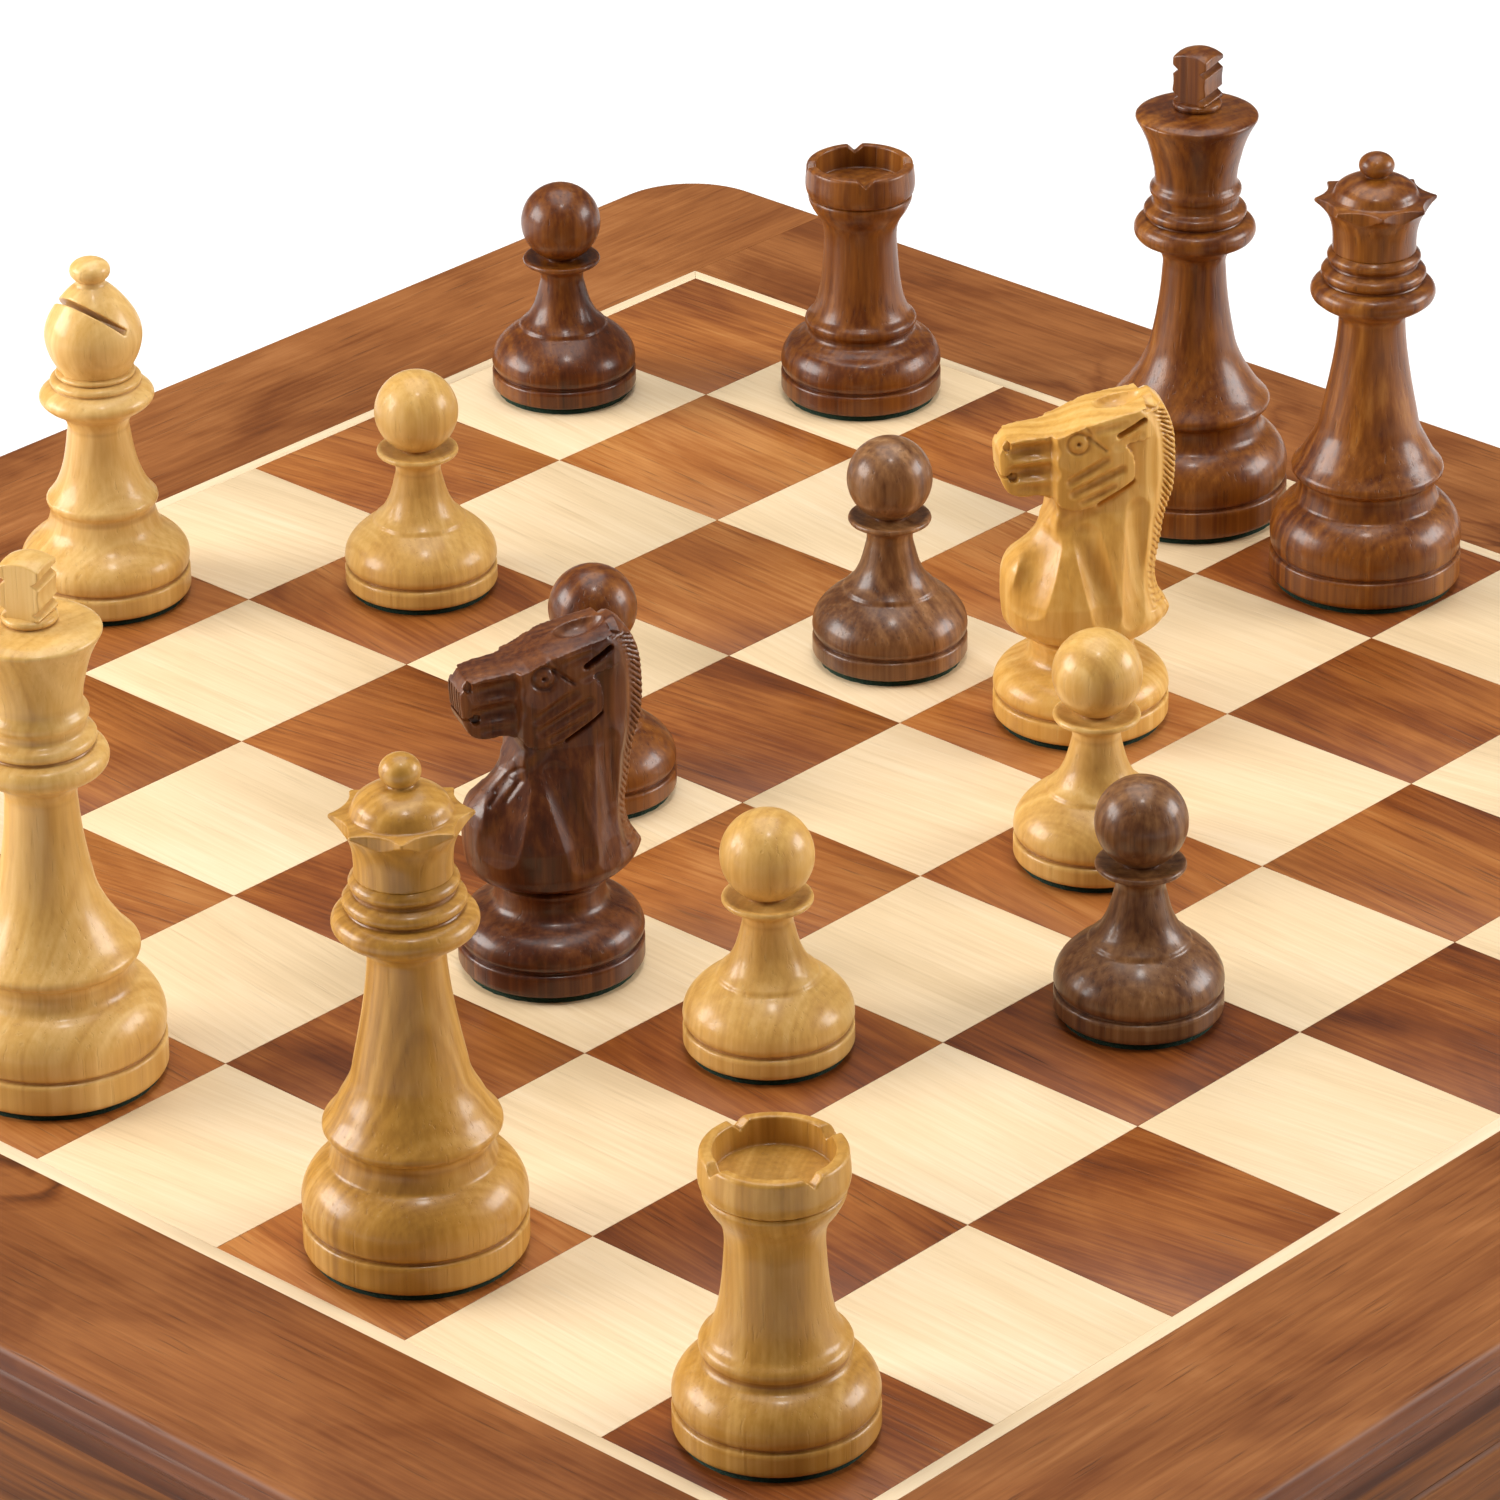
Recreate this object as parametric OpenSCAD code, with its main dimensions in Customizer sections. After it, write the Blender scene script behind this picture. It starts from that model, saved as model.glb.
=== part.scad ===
// Chess set on a cabinet board: 32 turned and carved men, inlaid board, two storage drawers.
// Millimetres, +Z up. Origin: centre of the base, where the feet stand. White plays from the -Y side.

/* [Board] */
// side of one playing square
square = 45; // [44:0.5:50]
// width of the wooden border outside the inlay line
border_w = 43; // [42:1:60]
// width of the pale inlay line round the squares
inlay_w = 3; // [2:0.5:5]
// radius of the rounded corners of the top
corner_r = 19.5; // [16:0.5:24]
// thickness of the border timber
slab_t = 10.5; // [9.5:0.5:14]
// thickness of the veneer squares
veneer_t = 0.8; // [0.6:0.1:1.5]

/* [Case] */
// height from the feet to the playing surface
total_h = 90; // [88:1:120]
// how far the case stands in from the edge of the top
case_inset = 5; // [4.5:0.5:8]
// thickness of the side panels, rails and drawer faces
panel_t = 12; // [10:1:14]
// thickness of the cloth foot pads
foot_t = 2; // [1:0.5:4]

/* [Drawers] */
// how far both drawers stand open
drawer_open = 0; // [0:5:150]
// distance of each drawer knob from the middle
knob_x = 95; // [60:5:150]

/* [Men] */
// thickness of the cloth pad under each man
pad_t = 1.4; // [0.8:0.2:2]
// clear height the men on the board are lifted
lift = 0; // [0:5:120]

/* [Hidden] */
$fn = 64;

// man, column and place on the board, all in squares from the middle of the board
seat_light_king = [-3.470, 0.461];
seat_light_queen = [-3.489, -1.556];
seat_light_bishop = [-0.372, 3.521];
seat_light_knight = [1.571, -0.533];
seat_light_rook = [-3.547, -3.440];
seat_light_pawn_a = [-1.480, -1.509];
seat_light_pawn_b = [0.616, 2.520];
seat_light_pawn_c = [0.596, -1.438];
seat_dark_king = [3.536, 0.476];
seat_dark_queen = [3.478, -0.582];
seat_dark_knight = [-1.542, -0.378];
seat_dark_rook = [3.511, 2.471];
seat_dark_pawn_a = [2.613, 3.558];
seat_dark_pawn_b = [1.469, 0.473];
seat_dark_pawn_c = [-0.298, -2.418];
seat_dark_pawn_d = [-0.320, 0.542];

field = 4 * square;
line_out = field + inlay_w;
half = line_out + border_w;
top_z = total_h;
slab_z = top_z - slab_t;
ring_t = 6;
ring_z = slab_z - ring_t;
case_half = half - case_inset;
case_in = case_half - panel_t;
post = 24;
post_in = case_half - post;
joint = 0.1;
rail_top_h = 8;
rail_low_h = 7;
floor_t = 6;
bay_low = foot_t + rail_low_h;
bay_top = ring_z - rail_top_h;
divide_t = 8;

face_gap = 0.6;
face_half = post_in - face_gap;
box_out = post_in - 3;
box_t = 8;
box_in = box_out - box_t;
box_low = foot_t + floor_t + 2;
box_h = 50;
box_back = divide_t / 2 + 4;
tray_z = box_low + 2;
tray_t = 3;
cloth_t = 0.8;
cloth_z = tray_z + tray_t;
nest_z = cloth_z + cloth_t;
nest_h = 36;
slat_t = 4;
columns = 8;
bay_front = case_in;
bay_back = box_back + box_t;
long_nest = 108;
slat_y = bay_front - long_nest;
pitch = (2 * box_in + slat_t) / columns;
knob_z = (bay_low + bay_top) / 2;

maple = [0.90, 0.80, 0.60];
walnut = [0.48, 0.26, 0.15];
case_wood = [0.45, 0.27, 0.17];
boxwood = [0.82, 0.64, 0.36];
rosewood = [0.36, 0.18, 0.10];
baize = [0.05, 0.20, 0.13];
plywood = [0.72, 0.58, 0.40];
brass = [0.80, 0.62, 0.28];

// ---------------------------------------------------------------- profiles of the turned men
// every profile is [radius, height above the board] from the pad up

king_r = 19.8;
queen_r = 19.2;
bishop_r = 16.9;
rook_r = 17;
pawn_r = 15.3;

function band(r, h) = [
  [0, pad_t], [r - 0.5, pad_t], [r, pad_t + 0.5], [r, pad_t + h - 0.3],
  [r - 0.9, pad_t + h + 0.2], [r - 0.25, pad_t + h + 0.9]
];
function arc(rc, zc, rr, rz, a0, a1, n) = [
  for (i = [0 : n]) let (a = a0 + (a1 - a0) * i / n) [rc + rr * cos(a), zc + rz * sin(a)]
];

function pawn_profile() = concat(
  band(pawn_r, 4),
  [[15.3, 7.0], [15.25, 8.0], [15.0, 9.2], [14.4, 10.4], [13.5, 11.6], [12.4, 12.7], [11.2, 13.7],
   [10.1, 14.5], [9.3, 15.0], [9.15, 15.6], [8.6, 16.1], [7.7, 17.0], [6.8, 18.4], [6.0, 20.1],
   [5.4, 22.0], [4.9, 24.0], [4.5, 26.0], [4.7, 27.5], [5.9, 28.7], [7.5, 29.3], [8.15, 29.7],
   [8.2, 30.3], [7.8, 30.7], [5.6, 30.3],
   [3.6, 30.4]],
  arc(0, 38.5, 8.4, 8.4, -65, 90, 14)
);
function rook_profile() = concat(
  band(rook_r, 4.5),
  arc(7, 8, 10, 7.6, 0, 58, 8),
  [[11.95, 15.0], [11.85, 15.8]],
  arc(11.3, 17.2, 1.3, 1.35, -55, 60, 5),
  [[11.2, 19.0], [10.5, 20.3], [9.8, 22.2], [9.2, 24.8], [8.7, 28.4], [8.3, 33.4], [8.2, 37.0], [8.5, 39.0],
   [9.2, 40.6], [10.3, 42.2], [11.1, 43.6], [11.6, 44.8], [11.7, 45.5], [11.2, 45.9], [11.9, 46.3],
   [12.05, 46.7], [12.05, 52.2], [11.6, 52.7], [9.9, 52.7], [9.7, 47.8], [0, 47.8]]
);
function bishop_profile() = concat(
  band(bishop_r, 4.7),
  [[16.9, 8.6], [16.75, 9.8], [16.2, 11.0], [15.3, 12.1], [14.2, 13.1], [13.1, 14.0], [12.1, 15.0],
   [11.3, 16.2], [10.8, 17.6], [10.45, 19.2], [10.45, 20.3], [11.0, 20.9], [11.2, 21.5], [11.1, 22.1],
   [10.6, 22.7], [9.5, 24.2], [8.5, 26.2], [7.6, 28.8], [6.9, 32.0], [6.4, 35.4], [6.2, 38.0],
   [6.9, 39.8], [8.9, 41.2],
   [10.6, 42.4], [11.4, 43.4], [11.5, 44.2], [11.0, 45.0], [9.4, 46.2]],
  arc(8.2, 47.3, 1.0, 0.9, -60, 70, 4),
  [[7.4, 48.4]],
  arc(7.2, 49.0, 0.8, 0.6, -50, 60, 3),
  [[7.2, 49.8], [8.0, 51.2], [8.9, 53.0], [9.5, 55.0], [9.75, 57.0], [9.5, 58.8], [8.8, 60.7],
   [7.7, 62.6], [6.3, 64.5], [4.6, 66.4], [3.1, 67.7], [2.9, 68.4]],
  arc(0, 70.5, 4.1, 2.6, -45, 90, 9)
);
function queen_profile() = concat(
  band(queen_r, 5.6),
  arc(8.8, 10.4, 10.4, 9, 0, 58, 8),
  [[14.0, 19.0], [13.6, 20.4], [13.5, 22.0], [13.8, 23.0], [14.9, 23.7], [15.2, 24.2], [15.2, 25.1],
   [14.8, 25.6], [13.4, 27.4], [12.2, 29.7], [11.2, 31.5], [10.4, 33.2], [9.45, 37.4], [8.55, 41.9],
   [7.75, 46.4], [7.1, 50.9],
   [6.7, 55.0], [6.6, 57.0], [7.4, 58.3], [9.4, 59.6], [11.2, 60.8]],
  arc(10.2, 62.8, 2.2, 2.2, -60, 75, 6),
  [[9.6, 65.3]],
  arc(9.2, 66.8, 1.25, 1.2, -60, 70, 5),
  [[8.5, 68.6]],
  arc(8.3, 70.2, 1.0, 1.0, -60, 65, 4),
  [[8.3, 71.8], [8.3, 74.0], [8.5, 76.2], [9.2, 78.6], [10.4, 80.6], [12.15, 81.9], [12.15, 82.5],
   [8.8, 82.7],
   [8.6, 83.0], [7.9, 84.7], [6.0, 86.3], [3.6, 87.3], [2.4, 87.6], [2.1, 88.1]],
  arc(0, 90.2, 3.55, 3.0, -53, 90, 9)
);
function king_profile() = concat(
  band(king_r, 6),
  arc(8.8, 10.8, 11, 9.2, 0, 55, 8),
  [[14.7, 18.9], [14.2, 20.4], [14.1, 22.0], [14.4, 23.1], [15.5, 23.8], [15.9, 24.3], [15.9, 25.2],
   [15.5, 25.7], [13.9, 27.5], [12.4, 29.7], [11.2, 31.6], [10.3, 33.3], [9.0, 36.4], [8.1, 40.4],
   [7.4, 44.4], [6.8, 49.0],
   [6.5, 53.0], [6.4, 55.6], [7.0, 57.4], [9.0, 58.9], [11.0, 60.1]],
  arc(10.2, 62.2, 2.15, 2.3, -65, 75, 6),
  [[9.6, 64.8]],
  arc(9.2, 66.2, 1.25, 1.2, -60, 70, 5),
  [[8.6, 68.0]],
  arc(8.3, 70.8, 1.0, 1.3, -65, 65, 4),
  [[8.4, 72.6], [8.4, 74.5], [9.0, 77.6], [10.2, 81.8], [11.7, 85.0], [12.4, 86.2], [12.3, 86.7],
   [11.6, 87.1], [4.6, 88.2]],
  arc(4.2, 89.0, 0.8, 0.8, -70, 90, 4),
  [[0, 89.8]]
);
function knight_foot_profile() = concat(
  band(rook_r, 4.5),
  [[17, 7.4], [16.9, 8.5], [16.5, 9.6], [15.7, 10.7], [14.6, 11.6], [13.3, 12.3], [12.0, 12.9],
   [10.9, 13.6], [10.3, 14.6], [10.1, 15.8], [10.2, 17.2], [10.5, 18.1], [10.5, 18.6], [9.5, 18.9],
   [9.2, 19.2], [9.2, 20.2], [0, 20.2]]
);

// ---------------------------------------------------------------- the men, standing at the origin

module turned(points) {
  rotate_extrude() polygon(points);
}

module pad(r) {
  cylinder(r = r - 1.2, h = pad_t);
}

module pawn() {
  turned(pawn_profile());
}

// the dark rook is a little slimmer above its base and the dark queen's finial a little lower
dark_slim = 0.94;
dark_low = 0.86;
function slim(points, k, z) = [for (q = points) q[1] > z ? [q[0] * k, q[1]] : q];
function lowered(points, k, z) = [for (q = points) q[1] > z ? [q[0], z + (q[1] - z) * k] : q];

rook_notch_count = 4;
module rook(k = 1) {
  difference() {
    turned(slim(rook_profile(), k, 13));
    for (i = [0 : rook_notch_count - 1]) {
      rotate([0, 0, 28 + i * 360 / rook_notch_count]) translate([10.9 * k, 0, 52.8]) rotate([45, 0, 0])
        cube([5, 2.6, 2.6], center = true);
    }
  }
}

slot_rise = 43.5;
module bishop() {
  difference() {
    turned(bishop_profile());
    translate([0, 0, 59.8]) rotate([0, -slot_rise, 0]) translate([5.6, 0, 0])
      cube([12.4, 30, 1.2], center = true);
  }
}

scallops = 8;
module queen(k = 1) {
  difference() {
    turned(lowered(queen_profile(), k, 82.7));
    for (i = [0 : scallops - 1]) {
      rotate([0, 0, 22.5 + i * 360 / scallops]) translate([18.4, 0, 76]) cylinder(r = 8.4, h = 9);
    }
  }
}

cross_w = 7.8;
cross_t = 7;
cross_h = 11.1;
notch = 2;
module king() {
  turned(king_profile());
  difference() {
    translate([-cross_t / 2, -cross_w / 2, 89.5]) cube([cross_t, cross_w, cross_h]);
    for (s = [-1, 1]) {
      for (z = [91.4, 97]) {
        translate([0, s * cross_w / 2, z]) rotate([45, 0, 0]) cube([10, notch, notch], center = true);
      }
      translate([0, s * 4.6, 100.8]) rotate([s * -28, 0, 0]) cube([10, 7, 3.4], center = true);
      translate([0, s * 5.4, 88.6]) rotate([s * 32, 0, 0]) cube([10, 5, 3], center = true);
    }
  }
}

// horse seen from the side, looking along +X
horse_side = [
  [10.6, 19.3], [13.6, 20.4], [15.1, 22.2], [15.8, 25.2], [16.1, 28.4], [16.1, 31.0], [15.6, 33.8],
  [11.8, 38.6], [8.5, 42.3], [6.0, 46.6], [6.6, 48.6], [9.0, 49.6], [13.4, 49.6], [15.4, 50.6],
  [16.5, 52.6], [16.9, 55.6], [16.8, 59.4], [15.6, 61.1], [12.2, 61.8], [8.4, 62.1], [5.0, 63.0],
  [1.7, 64.5], [-1.6, 65.6], [-5.9, 66.6], [-9.7, 67.2], [-12.6, 68.2], [-14.5, 66.4], [-16.0, 63.6],
  [-17.0, 60.2], [-17.4, 55.4], [-17.3, 50.7], [-16.7, 46.4], [-15.5, 41.7], [-14.9, 37.4],
  [-14.2, 33.3], [-14.1, 29.5], [-14.8, 26.9], [-16.8, 23.4], [-15.9, 21.4], [-13.8, 20.1],
  [-10.6, 19.3]
];
// half thickness of the horse at each height
horse_front = [
  [9.6, 19.3], [11.2, 20.6], [11.8, 23.0], [11.8, 28.0], [10.5, 33.0], [9.0, 38.0], [7.6, 42.5], [7.0, 46.0],
  [7.3, 51.0], [7.3, 60.0], [7.1, 64.0], [6.4, 66.4], [4.6, 68.3]
];
// half thickness along the head and along the body
head_plan = [[17, 3.6], [15.5, 4.3], [9, 4.7], [7.2, 4.9], [6.2, 6.6], [1, 7.3], [-6, 7.3], [-11, 6.0],
  [-14, 3.6], [-18, 2.4]];
body_plan = [[16.4, 3.2], [15, 5.6], [12.5, 8.2], [9, 10.4], [4, 11.5], [0, 11.8], [-5, 11.2], [-9, 9.4],
  [-12, 6.4], [-14, 4.2], [-18, 2.4]];

module mirrored_plan(plan) {
  polygon(concat(plan, [for (i = [len(plan) - 1 : -1 : 0]) [plan[i][0], -plan[i][1]]]));
}

module horse_block() {
  intersection() {
    rotate([90, 0, 0]) translate([0, 0, -12]) linear_extrude(24) polygon(horse_side);
    rotate([90, 0, 90]) translate([0, 0, -20]) linear_extrude(40)
      polygon(concat(horse_front, [for (i = [len(horse_front) - 1 : -1 : 0])
        [-horse_front[i][0], horse_front[i][1]]]));
    union() {
      translate([0, 0, 45]) linear_extrude(25) mirrored_plan(head_plan);
      translate([0, 0, 18]) linear_extrude(27) mirrored_plan(body_plan);
    }
  }
}

mane_cuts = 13;
module horse_carving() {
  for (s = [-1, 1]) {
    // eye: a drilled dot in a ring
    translate([2.2, s * 7.3, 60.4]) rotate([90, 0, 0]) difference() {
      cylinder(r = 2.1, h = 1.8, center = true, $fn = 24);
      cylinder(r = 1.5, h = 3, center = true, $fn = 24);
    }
    translate([2.2, s * 7.3, 60.4]) rotate([90, 0, 0]) cylinder(r = 0.6, h = 2.4, center = true, $fn = 24);
    // nostril and corner of the mouth
    translate([15.6, s * 4.4, 60.0]) rotate([90, 0, 0]) cylinder(r = 0.7, h = 2.2, center = true, $fn = 24);
    translate([14.3, s * 4.5, 53.3]) rotate([90, 0, 0]) cylinder(r = 0.9, h = 2.6, center = true, $fn = 24);
    // two hollows of the muzzle and the gouge of the cheek
    for (z = [54.5, 58.9]) {
      translate([10.6, s * 6.2, z]) rotate([0, 90, 0]) cylinder(r = 2.4, h = 6.6, center = true, $fn = 24);
    }
    translate([-1.8, s * 9.6, 52.4]) rotate([0, 31, 0]) rotate([0, 90, 0])
      cylinder(r = 3, h = 9, center = true, $fn = 32);
    // cut under the jaw and under the ear
    translate([-5.0, s * 7.4, 49.7]) rotate([0, 31, 0]) cube([7.8, 3, 0.8], center = true);
    translate([-8.0, s * 6.9, 63.0]) rotate([0, 27, 0]) cube([5.2, 3, 0.9], center = true);
    // scoops of the chest and the shoulder
    translate([11.0, s * 13.6, 34]) rotate([0, -15, 0]) cylinder(r = 6.4, h = 13, center = true);
    translate([-2.0, s * 16.2, 33.5]) rotate([0, 7, 0]) cylinder(r = 6.4, h = 15, center = true);
  }
  // corner of the mouth to the lips
  translate([16.2, 0, 53.5]) cube([4, 9, 0.5], center = true);
  // hollow between the ears
  translate([-5.8, 0, 68.6]) rotate([0, 6, 0]) rotate([45, 0, 0]) cube([9, 4.6, 4.6], center = true);
  // notches of the mane
  for (i = [0 : mane_cuts - 1]) {
    translate([-17.9 + 0.02 * pow(i - 8.5, 2), 0, 28.5 + i * 2.8]) rotate([0, 45, 0])
      cube([1.3, 12, 1.3], center = true);
  }
}

module knight() {
  turned(knight_foot_profile());
  difference() {
    horse_block();
    horse_carving();
  }
}

// ---------------------------------------------------------------- placing

function seat(s) = [s[0] * square, s[1] * square, top_z + lift];
knight_light_yaw = 142;
knight_dark_yaw = 153;
cross_light_yaw = 200;
cross_dark_yaw = 188;

// lowest line of a turned profile that lies tilted t degrees nose down
function lay_height(points, t) = max([for (p = points) p[1] * sin(t) + p[0] * cos(t)]);

module lying(column, y, h, t) {
  translate([-box_in + pitch / 2 - slat_t / 2 + column * pitch, y, nest_z + 0.3 + h])
    rotate([-90 - t, 0, 0]) children();
}

long_y = -bay_front + 7;
short_y = -slat_y + slat_t + 6;
pawn_lay = 11.5;
rook_lay = 6;
bishop_lay = 8.4;
knight_lay = 10;

module stored_men(rooks, knights, bishops, pawns) {
  for (c = rooks) lying(c, long_y, lay_height(rook_profile(), rook_lay), rook_lay) rook();
  for (c = knights) lying(c, long_y, lay_height(knight_foot_profile(), knight_lay), knight_lay) knight();
  for (c = bishops) lying(c, long_y, lay_height(bishop_profile(), bishop_lay), bishop_lay) bishop();
  for (c = pawns) lying(c, short_y, lay_height(pawn_profile(), pawn_lay), pawn_lay) pawn();
}

module stored_pads(rooks, knights, bishops, pawns) {
  for (c = rooks) lying(c, long_y, lay_height(rook_profile(), rook_lay), rook_lay) pad(rook_r);
  for (c = knights) lying(c, long_y, lay_height(knight_foot_profile(), knight_lay), knight_lay) pad(rook_r);
  for (c = bishops) lying(c, long_y, lay_height(bishop_profile(), bishop_lay), bishop_lay) pad(bishop_r);
  for (c = pawns) lying(c, short_y, lay_height(pawn_profile(), pawn_lay), pawn_lay) pad(pawn_r);
}

// ---------------------------------------------------------------- board

module box_between(a, b) {
  translate(a) cube(b - a);
}

module board_core() {
  color(plywood) box_between([-line_out, -line_out, slab_z], [line_out, line_out, top_z - veneer_t]);
}

module squares(parity) {
  for (i = [0 : 7], j = [0 : 7]) {
    if ((i + j) % 2 == parity)
      translate([-field + i * square + joint / 2, -field + j * square + joint / 2, top_z - veneer_t])
        cube([square - joint, square - joint, veneer_t]);
  }
}

module light_squares() {
  color(maple) squares(1);
}

module dark_squares() {
  color(walnut) squares(0);
}

module inlay_line() {
  color(maple) for (a = [0 : 90 : 270]) rotate([0, 0, a]) translate([0, 0, top_z - veneer_t])
    linear_extrude(veneer_t) polygon([
      [-line_out + joint, line_out - joint / 2], [line_out - joint, line_out - joint / 2],
      [field - joint / 2, field], [-field + joint / 2, field]
    ]);
}

// moulded edge: radius outwards from the corner centre, then height
function slab_edge() = [
  [0, slab_z], [corner_r - 3.0, slab_z], [corner_r - 2.1, slab_z + 0.3], [corner_r - 1.5, slab_z + 1.1],
  [corner_r - 1.2, slab_z + 2.2], [corner_r - 1.25, slab_z + 3.3], [corner_r - 1.6, slab_z + 4.3],
  [corner_r - 2.6, slab_z + 4.9], [corner_r - 2.6, top_z - 4.9], [corner_r, top_z - 4.6],
  [corner_r, top_z - 1.9], [corner_r - 0.25, top_z - 1.0], [corner_r - 0.8, top_z - 0.35],
  [corner_r - 1.7, top_z - 0.05], [corner_r - 2.2, top_z], [0, top_z]
];
function ring_edge() = [
  [0, ring_z], [corner_r - 4.2, ring_z], [corner_r - 4.2, ring_z + 0.8], [corner_r - 4.6, ring_z + 1.8],
  [corner_r - 4.4, ring_z + 3.2], [corner_r - 3.8, ring_z + 4.4], [corner_r - 3.1, ring_z + 5.0],
  [corner_r - 3.1, slab_z], [0, slab_z]
];

// a square slab whose edge follows the profile all the way round
module swept(points) {
  c = half - corner_r;
  box_between([-c, -c, points[0][1]], [c, c, points[len(points) - 1][1]]);
  for (a = [0 : 90 : 270]) rotate([0, 0, a]) {
    translate([c, c, 0]) rotate_extrude(angle = 90) polygon(points);
    translate([c, c, 0]) rotate([90, 0, 0]) linear_extrude(2 * c) polygon(points);
  }
}

module border_strips() {
  color(walnut) intersection() {
    swept(slab_edge());
    union() {
      for (s = [-1, 1]) {
        translate([0, s * (line_out + 50), slab_z]) cube([2 * half + 2, 100, 3 * slab_t], center = true);
        translate([s * (line_out + 50), 0, slab_z])
          cube([100, 2 * (line_out - joint), 3 * slab_t], center = true);
      }
    }
  }
}

module under_moulding() {
  color(case_wood) difference() {
    swept(ring_edge());
    translate([0, 0, ring_z]) cube([2 * case_in, 2 * case_in, 3 * ring_t], center = true);
    for (a = [45, 135]) rotate([0, 0, a]) translate([0, 0, ring_z])
      cube([4 * half, joint, 3 * ring_t], center = true);
  }
}

// ---------------------------------------------------------------- case

module side_panels() {
  color(case_wood) for (s = [0, 180]) rotate([0, 0, s])
    box_between([case_in, -post_in, foot_t], [case_half, post_in, ring_z]);
}

module corner_posts() {
  r = corner_r - case_inset;
  h = ring_z - foot_t;
  color(case_wood) for (a = [0 : 90 : 270]) rotate([0, 0, a]) translate([0, 0, foot_t]) {
    intersection() {
      translate([case_half - r, case_half - r, 0]) cylinder(r = r, h = h);
      translate([post_in, post_in, 0]) cube([post, post, h]);
    }
    translate([post_in, post_in, 0]) cube([post, post - r, h]);
    translate([post_in, post_in, 0]) cube([post - r, post, h]);
  }
}

module cross_rails() {
  color(case_wood) for (s = [0, 180]) rotate([0, 0, s]) {
    box_between([-post_in, case_in, bay_top], [post_in, case_half, ring_z]);
    box_between([-post_in, case_in, foot_t], [post_in, case_half, bay_low]);
  }
}

module case_bottom() {
  color(plywood) difference() {
    box_between([-case_in, -case_in, foot_t], [case_in, case_in, foot_t + floor_t]);
    for (x = [-1, 1], y = [-1, 1]) {
      translate([x * (post_in + 20), y * (post_in + 20), foot_t]) cube([40, 40, 4 * floor_t], center = true);
    }
  }
}

module centre_divider() {
  color(plywood) box_between([-case_in, -divide_t / 2, foot_t + floor_t], [case_in, divide_t / 2, slab_z]);
}

module drawer_runners() {
  low = foot_t + floor_t;
  color(plywood) for (x = [0, 1], y = [0, 1]) mirror([x, 0, 0]) mirror([0, y, 0]) {
    box_between([box_in - 6, divide_t / 2, low], [case_in, post_in, box_low - 0.05]);
    box_between([box_out + 0.5, divide_t / 2, low], [case_in, post_in, low + 14]);
  }
}

foot_r = 11;
module feet() {
  color(baize) for (x = [-1, 1], y = [-1, 1]) {
    translate([x * (case_half - 24), y * (case_half - 24), 0]) cylinder(r = foot_r, h = foot_t);
  }
}

// ---------------------------------------------------------------- drawers, drawn for the -Y side

module drawer_side(turn) {
  rotate([0, 0, turn]) translate([0, -drawer_open, 0]) children();
}

module drawer_face() {
  difference() {
    box_between([-face_half, -case_half, bay_low + face_gap], [face_half, -case_in, bay_top - face_gap]);
    for (x = [-1, 1]) {
      translate([x * face_half, -case_half, knob_z]) rotate([0, 0, 45]) cube([1.2, 1.2, 80], center = true);
    }
    for (z = [bay_low + face_gap, bay_top - face_gap]) {
      translate([0, -case_half, z]) rotate([45, 0, 0]) cube([2 * half, 1.2, 1.2], center = true);
    }
  }
}

module drawer_box() {
  for (x = [0, 1]) mirror([x, 0, 0])
    box_between([box_in, -case_in, box_low], [box_out, -box_back, box_low + box_h]);
  box_between([-box_in + joint, -box_back - box_t, box_low], [box_in - joint, -box_back, box_low + box_h]);
  box_between([-box_in + joint, -case_in, tray_z], [box_in - joint, -bay_back - joint, cloth_z]);
}

module drawer_lining() {
  box_between([-box_in + 0.3, -case_in + 0.3, cloth_z], [box_in - 0.3, -bay_back - 0.3, nest_z]);
}

module drawer_slats() {
  for (i = [1 : columns - 1]) {
    translate([-box_in - slat_t + i * pitch, 0, 0]) {
      box_between([0, -bay_front + 0.3, nest_z], [slat_t, -slat_y - joint, nest_z + nest_h]);
      box_between([0, -slat_y + slat_t + joint, nest_z], [slat_t, -bay_back - 0.3, nest_z + nest_h]);
    }
  }
  box_between([-box_in + 0.3, -slat_y, nest_z], [box_in - 0.3, -slat_y + slat_t, nest_z + nest_h]);
}

knob_profile = [
  [0, 0], [6.5, 0], [6.5, 1.2], [5.2, 2.0], [3.6, 3.2], [3.0, 5.0], [3.4, 7.0], [5.2, 8.8], [7.2, 10.0],
  [8.0, 11.4], [7.8, 13.0], [6.2, 14.4], [3.4, 15.3], [0, 15.6]
];
module drawer_knobs() {
  for (x = [-knob_x, knob_x]) {
    translate([x, -case_half, knob_z]) rotate([90, 0, 0]) rotate_extrude() polygon(knob_profile);
  }
}

module front_drawer_face() {
  color(case_wood) drawer_side(0) drawer_face();
}

module front_drawer_box() {
  color(plywood) drawer_side(0) drawer_box();
}

module front_drawer_lining() {
  color(baize) drawer_side(0) drawer_lining();
}

module front_drawer_slats() {
  color(plywood) drawer_side(0) drawer_slats();
}

module front_drawer_knobs() {
  color(brass) drawer_side(0) drawer_knobs();
}

module back_drawer_face() {
  color(case_wood) drawer_side(180) drawer_face();
}

module back_drawer_box() {
  color(plywood) drawer_side(180) drawer_box();
}

module back_drawer_lining() {
  color(baize) drawer_side(180) drawer_lining();
}

module back_drawer_slats() {
  color(plywood) drawer_side(180) drawer_slats();
}

module back_drawer_knobs() {
  color(brass) drawer_side(180) drawer_knobs();
}

module light_stored_men() {
  color(boxwood) drawer_side(0) stored_men([7], [6], [5], [0 : 4]);
}

module light_stored_pads() {
  color(baize) drawer_side(0) stored_pads([7], [6], [5], [0 : 4]);
}

module dark_stored_men() {
  color(rosewood) drawer_side(180) stored_men([7], [6], [2, 5], [0 : 3]);
}

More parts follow.
